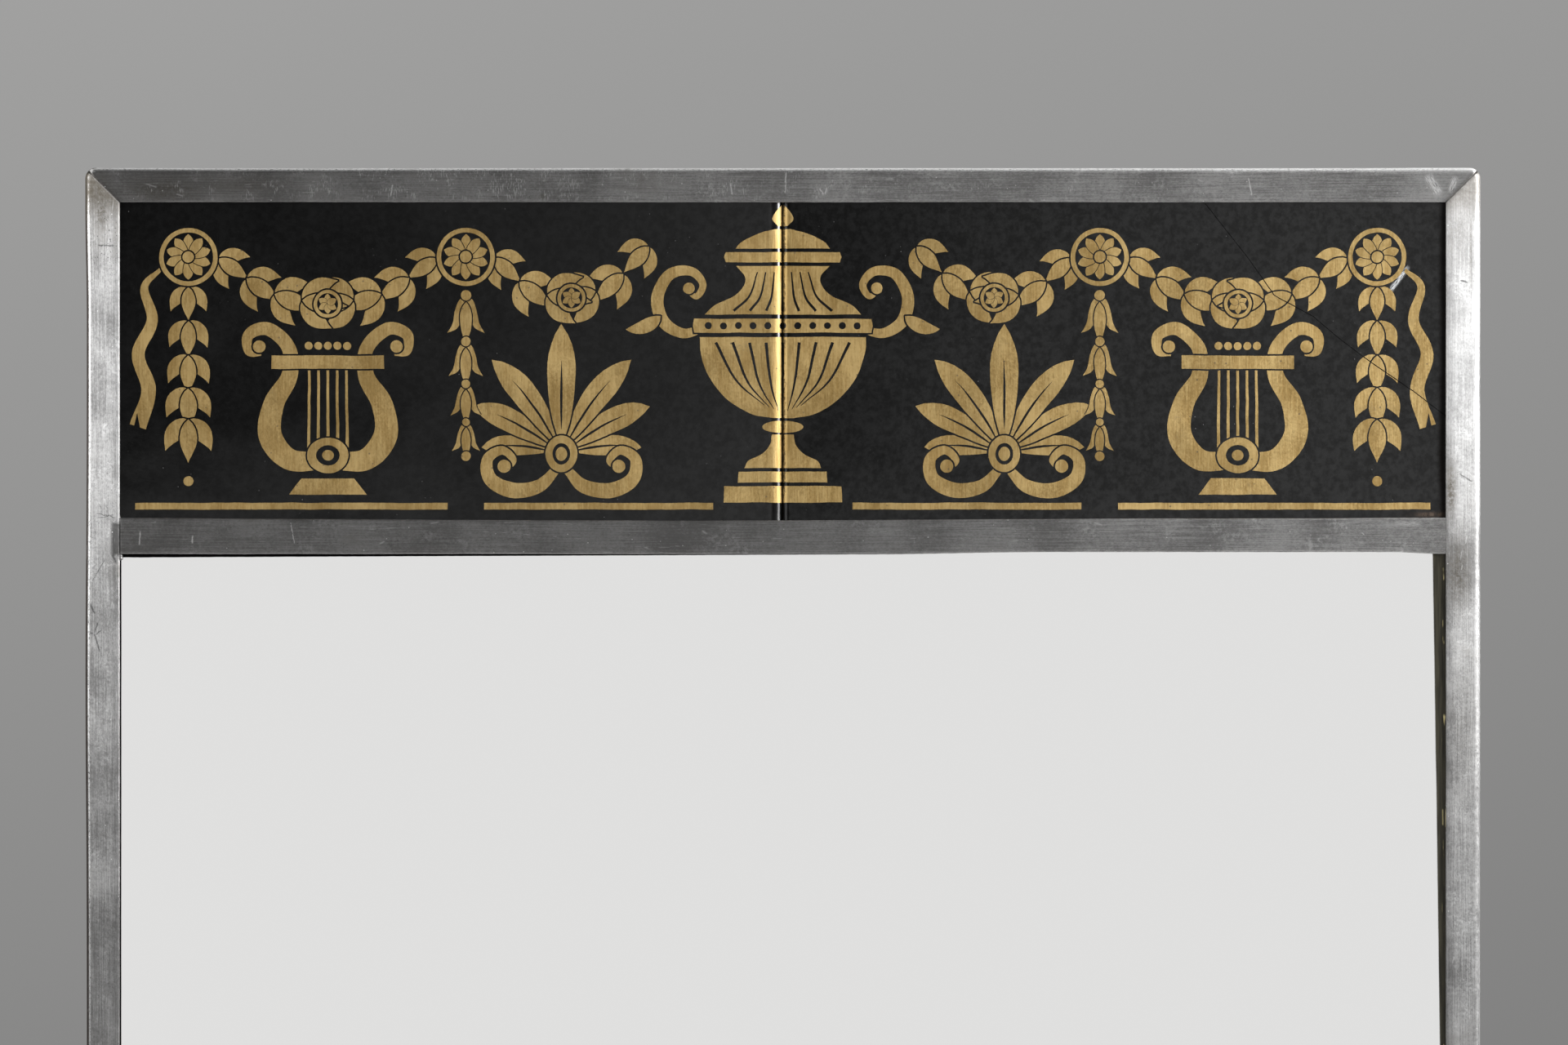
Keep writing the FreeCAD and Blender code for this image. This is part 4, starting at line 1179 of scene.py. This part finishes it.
def palmette(frieze, x, foot, size):
    """Lobes fanned out over a pair of scrolls."""
    heart = foot + 12.0 * size
    lobes = ((1.32, 20, 5.8), (0.9, 26, 6.8), (0.46, 31, 7.4))
    for (lean, length, width), side in product(lobes, (1, -1)):
        root = (x + side * math.sin(lean) * 3.4 * size, heart + math.cos(lean) * 3.0 * size)
        frieze.lay(leaf(root, length * size, width * size, side * lean, side * 0.42, 0.62))
        frieze.engrave(leaf(root, length * 0.72 * size, 0.75, side * lean, side * 0.3, 0.4))
    frieze.lay(leaf((x, heart + 3.0 * size), 34.5 * size, 8.2 * size, 0.0, 0.0, 0.62))
    frieze.engrave(leaf((x, heart + 7.0 * size), 20.0 * size, 0.8, 0.0))
    scroll = [(1.5, 7.5), (6.5, 2.6), (14.0, 1.4), (20.5, 4.6), (21.4, 10.4)]
    scroll += [(17.2, 13.0), (14.0, 10.2), (16.0, 7.6)]
    widths = [w * size for w in (2.4, 3.8, 4.4, 4.0, 3.2, 2.5, 2.0, 1.2)]
    for side in (1, -1):
        frieze.lay(stroke([(x + side * a * size, foot + b * size) for a, b in scroll], widths))
        frieze.lay(disc((x + side * 16.6 * size, foot + 8.4 * size), 1.9 * size, count=18))
    frieze.lay(disc((x, heart), 4.6 * size, 1.15))
    frieze.engrave(disc((x, heart), 2.6 * size, 1.2, 20))
    frieze.lay(disc((x, heart), 1.7 * size, 1.2, 18), 0)


def husks(frieze, x, top, count, size):
    """A drop of bell flowers, each smaller than the one above."""
    bell = [(0, 0), (1.9, -1.0), (3.1, -4.0), (3.9, -7.8), (5.4, -10.6)]
    inner = [(2.6, -9.2), (1.2, -6.2), (0.0, -2.6)]
    outline = curve(bell) + curve([bell[-1], *inner])
    for i in range(count):
        scale = size * (1.0 - 0.085 * i)
        for side in (1, -1):
            frieze.lay([(x + side * p.x * scale, top + p.y * scale) for p in outline], 0.3)
        frieze.lay(leaf((x, top - 1.6 * scale), 11.6 * scale, 3.5 * scale, math.pi), 0.4)
        frieze.lay(disc((x, top + 0.4), 1.5 * scale, count=16), 0.4)
        top -= 13.4 * scale
    frieze.lay(disc((x, top + 0.6), 1.4 * size, count=16), 0.4)


def lyre(frieze, x, foot, size):
    """A lyre with scrolled arms and five strings."""

    def at(across, up):
        return (x + across * size, foot + up * size)

    arm = [(2.0, 9.0), (10.5, 9.6), (15.6, 16.0), (14.6, 24.6), (10.4, 32.0), (10.6, 39.6), (16.2, 44.8)]
    arm += [(21.4, 43.2), (21.4, 38.8), (18.0, 38.2)]
    widths = [w * size for w in (4.6, 5.8, 6.4, 5.6, 4.4, 3.8, 3.6, 3.0, 2.3, 1.5)]
    for side in (1, -1):
        frieze.lay(stroke([at(side * a, b) for a, b in arm], widths))
        frieze.lay(disc(at(side * 18.6, 40.0), 1.7 * size, count=16))
    for k in range(-2, 3):
        frieze.lay(stroke([at(k * 2.6, 11.0), at(k * 2.5, 38.0)], [1.0, 0.8]), 0.2)
    frieze.lay([at(-15.2, 34.0), at(15.2, 34.0), at(15.2, 37.6), at(-15.2, 37.6)])
    for k in range(-2, 3):
        frieze.lay(disc(at(k * 2.6, 40.2), 1.1 * size, count=14), 0.3)
    frieze.lay(disc(at(0, 10.6), 5.6 * size, 0.86))
    frieze.engrave(disc(at(0, 10.6), 3.2 * size, 0.86, 20))
    frieze.lay(disc(at(0, 10.6), 1.6 * size, 0.9, 18), 0)
    frieze.lay([at(-10.5, 0), at(10.5, 0), at(7.2, 4.4), at(-7.2, 4.4)])


def ribbon(frieze, x, top):
    """The loose end of a ribbon, with a forked tip."""
    line = ((-5.5, 0), (0, 6), (-2.6, 17), (2.0, 28), (-1.4, 40), (2.2, 52))
    frieze.lay(stroke([(x + a, top - b) for a, b in line], [1.2, 2.6, 3.6, 4.2, 4.8, 5.6]))
    frieze.engrave([(x + 1.0, top - 55), (x + 2.4, top - 47.4), (x + 4.2, top - 55)])


def frieze_drawing():
    """The whole frieze: an urn in the middle, and the same on both sides of it."""
    frieze = Frieze()
    inner, outer, level, ground = 104.5, 196.0, 86.0, 3.8
    for start, end in ((23.0, 98.5), (110.5, 213.5)):
        frieze.lay(stroke([(start, ground), (end, ground)], [2.2, 2.2]))
    swag(frieze, (43.5, 90.0), (inner - 8.6, level), 15.5, 3)
    swag(frieze, (inner + 8.6, level), (187.0, level), 15.5, 4)
    palmette(frieze, 73.0, 7.4, 1.14)
    lyre(frieze, 150.0, 7.6, 1.22)
    urn(frieze)
    husks(frieze, inner, 73.0, 4, 1.14)
    laurel(frieze, curve([(outer, 76.0), (outer, 48.0), (outer, 22.0)], 20), 5, 0.92)
    frieze.lay(disc((outer, 12.0), 1.7, count=16), 0.4)
    ribbon(frieze, 210.5, 82.0)
    for x in (inner, outer):
        patera(frieze, (x, level), 9.6)
    frieze.engrave(stroke([(x, z - PANEL_FOOT) for x, z in CRACK], [0.32] * len(CRACK)), twin=False)
    return frieze.layers


# how far apart an outline's points are set, and the slow and the quick unsteadiness of the hand:
# how fine each one is, its own layer of the noise and how far it pushes
POINT_SPACING = 1.4
UNSTEADINESS = ((0.16, 3.7, 0.16), (0.7, 8.1, 0.06))


def by_hand(outline):
    """The outline with close-set points, each a little off as a steady hand leaves it."""
    points = []
    for a, b in zip(outline, outline[1:] + outline[:1]):
        steps = max(1, round((b - a).length / POINT_SPACING))
        points += [a + (b - a) * i / steps for i in range(steps)]
    out = []
    for p in points:
        push = Vector((0, 0, 0))
        for scale, layer, reach in UNSTEADINESS:
            push += noise.noise_vector(Vector((p.x * scale, p.y * scale, layer))) * reach
        out.append(Vector((p.x + push.x, p.y + push.y)))
    return turned_left(out)


def gilding(name, side, layers):
    """One pane's share of the frieze, as a thin closed skin on the glass."""
    places, edges, faces, gold = [], [], [], []
    for outline, is_gold in layers:
        if max(p.x * side for p in outline) < SEAM_HALF_GAP:
            continue
        points = by_hand(outline)
        faces.append(tuple(range(len(places), len(places) + len(points))))
        places += points
        gold.append(is_gold)
    below, above = -3.0, 108.0
    seam_lines(side, below, above, places, edges)
    flat, cuts, over = cut_flat(places, edges, faces)
    work = bmesh.new()
    proud, sunk = 0.05, -0.02
    sheets = []
    for lift in (proud, sunk):
        sheet = []
        for point in flat:
            x, y = on_pane(side * max(side * point.x, SEAM_HALF_GAP), lift)
            sheet.append(work.verts.new((x * MM, y * MM, (point.y + PANEL_FOOT) * MM)))
        sheets.append(sheet)
    used = {}
    for face, ids in zip(cuts, over):
        inside = sum((flat[i].x for i in face)) / len(face) * side > SEAM_HALF_GAP
        if not ids or not inside or not gold[max(ids)]:
            continue
        work.faces.new([sheets[0][i] for i in face])
        work.faces.new([sheets[1][i] for i in reversed(face)])
        for a, b in zip(face, face[1:] + face[:1]):
            used[(a, b)] = used.get((a, b), 0) + 1
    for a, b in used:
        if (b, a) not in used:
            work.faces.new([sheets[0][b], sheets[0][a], sheets[1][a], sheets[1][b]])
    bmesh.ops.delete(work, geom=[v for v in work.verts if not v.link_faces], context="VERTS")
    bmesh.ops.recalc_face_normals(work, faces=work.faces)
    mounted(name, smoothed(written(work, name), sharp=40), "gold_leaf")


# without a seed of its own this noise follows the clock, and the drawing has to be the same each time
noise.seed_set(7)
DRAWN = frieze_drawing()
gilding("left_gilding", -1, DRAWN)
gilding("right_gilding", 1, DRAWN)


# the back: timber, boards and hangers

def eased(node, finish, width, name=None):
    """A copy of a solid with its edges eased, as a plane or a file leaves them."""
    work = opened(NODES[node].data, merge=SAME_PLACE)
    flat = math.radians(0.4)
    bmesh.ops.dissolve_limit(work, angle_limit=flat, verts=work.verts, edges=work.edges)
    carrier = new_object(f"{node}_carrier", written(work, node))
    bevel = carrier.modifiers.new("eased", "BEVEL")
    bevel.width, bevel.segments, bevel.angle_limit = width * MM, 2, math.radians(28)
    ready = carrier.evaluated_get(bpy.context.evaluated_depsgraph_get())
    mesh = bpy.data.meshes.new_from_object(ready)
    bpy.data.objects.remove(carrier)
    name = name or node.replace("timber_", "pine_").replace("_strap", "_plate")
    mounted(name, smoothed(mesh, sharp=40), finish, node)


# how wide the easing is on each kind of part, in millimetres
TIMBER_EASE, BOARD_EASE, STRAP_EASE = 0.45, 0.3, 0.14
for side in ("left", "right"):
    eased(f"{side}_timber_stile", "pine_upright", TIMBER_EASE)
for rail in ("top", "middle", "bottom"):
    eased(f"{rail}_timber_rail", "pine_level", TIMBER_EASE)
for board in ("upper", "lower"):
    eased(f"{board}_back_board", "back_board", BOARD_EASE, f"{board}_panel_board")
for side in ("left", "right"):
    eased(f"{side}_hanger_strap", "brass", STRAP_EASE)


def solids(node):
    """The lowest and highest corner of each separate solid of a node."""
    work = opened(NODES[node].data, merge=SAME_PLACE)
    left, found = set(work.verts), []
    while left:
        wave = [left.pop()]
        whole = []
        while wave:
            vert = wave.pop()
            whole.append(vert.co.copy())
            beside = {e.other_vert(vert) for e in vert.link_edges} & left
            left -= beside
            wave += beside
        found.append(tuple(Vector([pick(c[i] for c in whole) for i in range(3)]) for pick in (min, max)))
    work.free()
    return sorted(found, key=lambda pair: tuple(pair[0]))


def turned(profile, sides=28):
    """A closed solid turned about Z from a profile of radii and heights in millimetres."""
    work = bmesh.new()
    verts = [work.verts.new((r * MM, 0, z * MM)) for r, z in profile]
    edges = [work.edges.new(pair) for pair in zip(verts, verts[1:])]
    about_z = {"cent": (0, 0, 0), "axis": (0, 0, 1), "angle": math.tau, "steps": sides}
    bmesh.ops.spin(work, geom=verts + edges, use_duplicate=False, **about_z)
    bmesh.ops.remove_doubles(work, verts=work.verts, dist=SAME_PLACE / 10)
    bmesh.ops.recalc_face_normals(work, faces=work.faces)
    return work


def finished(work, name):
    bmesh.ops.recalc_face_normals(work, faces=work.faces)
    return new_object(name, smoothed(written(work, name), sharp=35))


def screw(name, length):
    """A countersunk slotted wood screw with its head's top on the XY plane."""
    head, shank, slot, slot_depth = 2.7, 1.3, 0.35, 0.7
    profile = [(0, 0.07), (1.3, 0.05), (2.2, 0.0), (head - 0.08, -0.06), (head, -0.16)]
    profile += [(shank + 0.1, -head + shank), (shank, -head + shank - 0.2)]
    profile += [(shank, 2.0 - length), (0.4, -length), (0, -length)]
    work = turned(profile)
    for place in (slot, -slot):
        cut = {"plane_co": (0, place * MM, 0), "plane_no": (0, 1, 0)}
        bmesh.ops.bisect_plane(work, geom=work.verts[:] + work.edges[:] + work.faces[:], **cut)

    def in_slot(face):
        middle = face.calc_center_median()
        return face.normal.z > 0.5 and abs(middle.y) < slot * MM and middle.z > -0.3 * MM

    tops = [face for face in work.faces if in_slot(face)]
    sunk = bmesh.ops.extrude_face_region(work, geom=tops)["geom"]
    bmesh.ops.delete(work, geom=[f for f in tops if f.is_valid], context="FACES_ONLY")
    for vert in corners(sunk):
        vert.co.z = -slot_depth * MM
    return finished(work, name)


def pin(name, length):
    """A small countersunk pin."""
    head, shank = 1.3, 0.65
    profile = [(0, 0.05), (0.7, 0.02), (head - 0.06, -0.05), (head, -0.12)]
    profile += [(shank, -head + shank), (shank, 1.5 - length), (0.2, -length), (0, -length)]
    return finished(turned(profile, 18), name)


def fastening_recipe():
    """A fastener at every point, its head facing the point's aim and turned as chance has it."""
    tree = Recipe("driven_fasteners", Fastener="object", Material="material", Seed=1)
    aim = tree.out("GeometryNodeInputNamedAttribute", {"Name": "aim"}, data_type="FLOAT_VECTOR")
    facing = tree.out("FunctionNodeAlignRotationToVector", {"Vector": aim}, axis="Z")
    inputs = {3: math.tau, "Seed": tree.input("Seed")}
    chance = tree.out("FunctionNodeRandomValue", inputs, 1, data_type="FLOAT")
    spin = tree.out("FunctionNodeAxisAngleToRotation", {"Axis": (0, 0, 1), "Angle": chance})
    rotation = tree.out("FunctionNodeRotateRotation", {0: facing, 1: spin}, rotation_space="LOCAL")
    model = tree.model("Fastener")
    inputs = {"Points": tree.input("Geometry"), "Instance": model, "Rotation": rotation}
    return tree.end(tree.out("GeometryNodeInstanceOnPoints", inputs))


FASTENING = fastening_recipe()


def outward(low, high):
    """Where the head of a pin or screw faces, from where it lies."""
    middle = (low + high) / 2 / MM
    if high.y - low.y > max(high.x - low.x, high.z - low.z):
        return Vector((0, 1, 0))
    if high.x - low.x > high.z - low.z:
        return Vector((math.copysign(1, middle.x), 0, 0))
    return Vector((0, 0, 1 if middle.z > FRAME_MIDDLE else -1))


def fasteners(name, node, pattern, seed):
    """The fasteners of a node, made anew where its solids are."""
    spots, aims = [], []
    for low, high in solids(node):
        aim = outward(low, high)
        middle, half = (low + high) / 2, (high - low) / 2
        spots.append(middle + Vector(a * h for a, h in zip(aim, half)))
        aims.append(aim)
    points = plain_mesh(f"{name}_points", spots)
    attribute = points.attributes.new("aim", "FLOAT_VECTOR", "POINT")
    for item, aim in zip(attribute.data, aims):
        item.vector = aim
    settings = {"Fastener": pattern, "Material": FINISHES["steel"], "Seed": seed}
    mounted(name, grown(name, FASTENING, settings, points), "steel", node)


BOARD_SCREW = screw("board_screw", 10.0)
HANGER_SCREW = screw("hanger_screw", 7.0)
SIDE_PIN = pin("side_pin", 12.0)
FASTENED = (
    ("frame_pins", "moulding_pins", SIDE_PIN),
    ("upper_screws", "upper_board_screws", BOARD_SCREW),
    ("lower_screws", "lower_board_screws", BOARD_SCREW),
    ("left_plate_screws", "left_hanger_screws", HANGER_SCREW),
    ("right_plate_screws", "right_hanger_screws", HANGER_SCREW),
)
for i, row in enumerate(FASTENED):
    fasteners(*row, i + 1)
for pattern in (BOARD_SCREW, HANGER_SCREW, SIDE_PIN):
    bpy.data.objects.remove(pattern)


def wire_recipe():
    """Round wire bent along a line, with closed ends."""
    tree = Recipe("bent_wire", Line="object", Material="material", Gauge=0.0024, Sides=24)
    path = tree.out("GeometryNodeMeshToCurve", {"Mesh": tree.model("Line")})
    inputs = {"Resolution": tree.input("Sides"), "Radius": tree.input("Gauge") * 0.5}
    section = tree.out("GeometryNodeCurvePrimitiveCircle", inputs)
    inputs = {"Curve": path, "Profile Curve": section, "Fill Caps": True}
    return tree.end(tree.out("GeometryNodeCurveToMesh", inputs))


WIRE = wire_recipe()


def hanger_ring(side, pivot):
    """The wire ring: a D whose flat side turns in the folded plate."""
    half_gap, pivot_reach, bow, leg, corner, lean = 0.2, 3.6, 9.2, 6.0, 2.4, 4.68
    right = [(half_gap, 0.0), (pivot_reach, 0.0)]
    right += arc((bow - corner, -corner), corner, 90, 0, 8)
    right += arc((0.0, -leg), bow, 0, -90, 24)
    line = [(-x, z) for x, z in right] + right[::-1][1:]
    places = [(x * MM, 0, z * MM) for x, z in line]
    edges = [(i, i + 1) for i in range(len(places) - 1)]
    guide = new_object("ring_line", plain_mesh("ring_line", places, edges=edges))
    ring = grown(f"{side}_wire_ring", WIRE, {"Line": guide, "Material": FINISHES["brass"]})
    placed(ring, pivot, lean, "X")
    closed(ring)
    bpy.data.objects.remove(guide)
    mounted(f"{side}_wire_ring", ring, "brass", f"{side}_hanger_ring", body=f"{side}_ring")


for joint in frame["joints"]:
    hanger_ring(joint["name"].split("_")[0], joint["pos_m"])


def solder_lumps():
    """Two lumps of solder, where the bar meets the left side."""
    work = bmesh.new()
    # how far in from the side, how far back and how high each one lies, and its half sizes
    lumps = ((0.1, 0.95, -7.0, (1.2, 0.84, 1.08)), (-0.3, 0.95, 6.2, (0.55, 0.4, 0.5)))
    for i, (inwards, back, rise, size) in enumerate(lumps):
        middle = Vector((-SIGHT_HALF_WIDTH + inwards, TRANSOM_FRONT + back, TRANSOM_MIDDLE + rise))
        for vert in bmesh.ops.create_icosphere(work, subdivisions=4, radius=1.0)["verts"]:
            stretched = Vector([part * of for part, of in zip(vert.co, size)])
            rough = noise.noise(stretched * 1.3 + Vector((i * 7.0, 0, 0))) * 0.3
            vert.co = (middle + stretched * (1 + rough)) * MM
    mesh = written(work, "solder_lumps")
    mesh.shade_smooth()
    mounted("solder_lumps", mesh, "solder")


solder_lumps()


# the camera, the lamps and the room

LENS = 174.2
STANDPOINT = (0.0004, -2.52, -0.047)
# the lamps: where each one stands, where it aims, its width and height, and its power
LAMPS = {
    "left_softbox": ((-1.35, -0.95, 0.47), (-0.2, 0.0, 0.05), 0.5, 1.0, 23.5),
    "right_softbox": ((1.35, -0.95, 0.48), (0.2, 0.0, 0.06), 0.5, 1.0, 53.0),
    "right_strip": ((1.55, -0.45, 0.45), (0.0, 0.0, 0.05), 0.12, 1.2, 12.0),
    "top_softbox": ((0.5, -0.7, 1.3), (0.15, 0.0, 0.0), 0.6, 0.4, 3.0),
    "rear_softbox": ((0.5, 2.8, 3.0), (0.1, 0.6, -0.4), 3.4, 3.4, 45.0),
}


def camera():
    """A long lens that looks straight at the wall, from where the photograph was taken."""
    data = bpy.data.cameras.new("camera")
    data.sensor_width, data.lens = 36.0, LENS
    view = new_object("camera", data)
    view.location = STANDPOINT
    view.rotation_euler = (math.radians(90), 0, 0)
    bpy.context.scene.camera = view


def softbox(name, place, aim, width, height, power):
    """A soft rectangular lamp that the camera doesn't see."""
    data = bpy.data.lights.new(name, "AREA")
    data.shape, data.size, data.size_y, data.energy = "RECTANGLE", width, height, power
    lamp = new_object(name, data)
    lamp.location = place
    lamp.rotation_euler = (Vector(aim) - Vector(place)).to_track_quat("-Z", "Y").to_euler()
    lamp.visible_camera = False


def surroundings():
    """What the glass and metal reflect, by direction, and the grey that the camera sees behind."""
    world = bpy.data.worlds.new("studio")
    bpy.context.scene.world = world
    world.use_nodes = True
    tree = Tree(world.node_tree)
    x, y, z = tree.parts(tree.out("ShaderNodeTexCoord", output="Generated"))
    # the wall behind the mirror, lighter towards the top and the left
    seen = z.ramp(-0.07, 0.07, 0.246, 0.356, smooth=False) * x.ramp(-0.08, 0.1, 1.0, 0.9, smooth=False)
    # straight in front: a light card low down, which the plate reflects, and a dark to light wall above it
    toward = y.ramp(-0.955, -0.992)
    left_to_right = x.ramp(-0.1, 0.1, 0.045, 0.62)
    card = 0.8
    ahead = card + (left_to_right - card) * z.ramp(-0.003, 0.001)
    # all round: darker at the left and lighter above, with a pale glow from behind
    sideways = x.ramp(-0.16, 0.16, 0.25, 1.5, smooth=False)
    elsewhere = z.ramp(0.25, 0.95, 0.085, 0.42) * sideways
    room = elsewhere + (ahead - elsewhere) * toward * z.ramp(-0.135, -0.125)
    room = room + y.ramp(0.0, 0.5, 0.0, 0.45)
    direct = tree.out("ShaderNodeLightPath", output="Is Camera Ray")
    strength = room + (seen - room) * direct
    background = world.node_tree.nodes["Background"]
    warm_white = (1.0, 0.995, 0.985, 1.0)
    background.inputs["Color"].default_value = warm_white
    tree.feed(background.inputs["Strength"], strength)


def floor():
    """A wide pale floor under the mirror."""
    sides, radius = 96, 6.0
    places = [(p.x, p.y, FRAME_BOTTOM * MM) for p in disc((0, 0), radius, count=sides)]
    mesh = plain_mesh("floor", places, [tuple(range(sides))])
    mesh.materials.append(pale_floor())
    new_object("floor", mesh)


camera()
surroundings()
floor()
for name, settings in LAMPS.items():
    softbox(name, *settings)

shown = bpy.context.scene.view_settings
shown.view_transform = "Standard"
shown.look = "None"

# nodes that keep their own solids, each with its finish
KEPT = {
    "corner_solder": "solder",
    "mirror_plate": "mirror_glass",
    "pane_backing_sheet": "backing",
    "mirror_backing_sheet": "backing",
    "pane_setting_slips": "hardwood",
    "mirror_setting_slips": "hardwood",
    "lap_dowels": "hardwood",
}
for node, finish in KEPT.items():
    NODES[node].data.materials.clear()
    NODES[node].data.materials.append(FINISHES[finish])
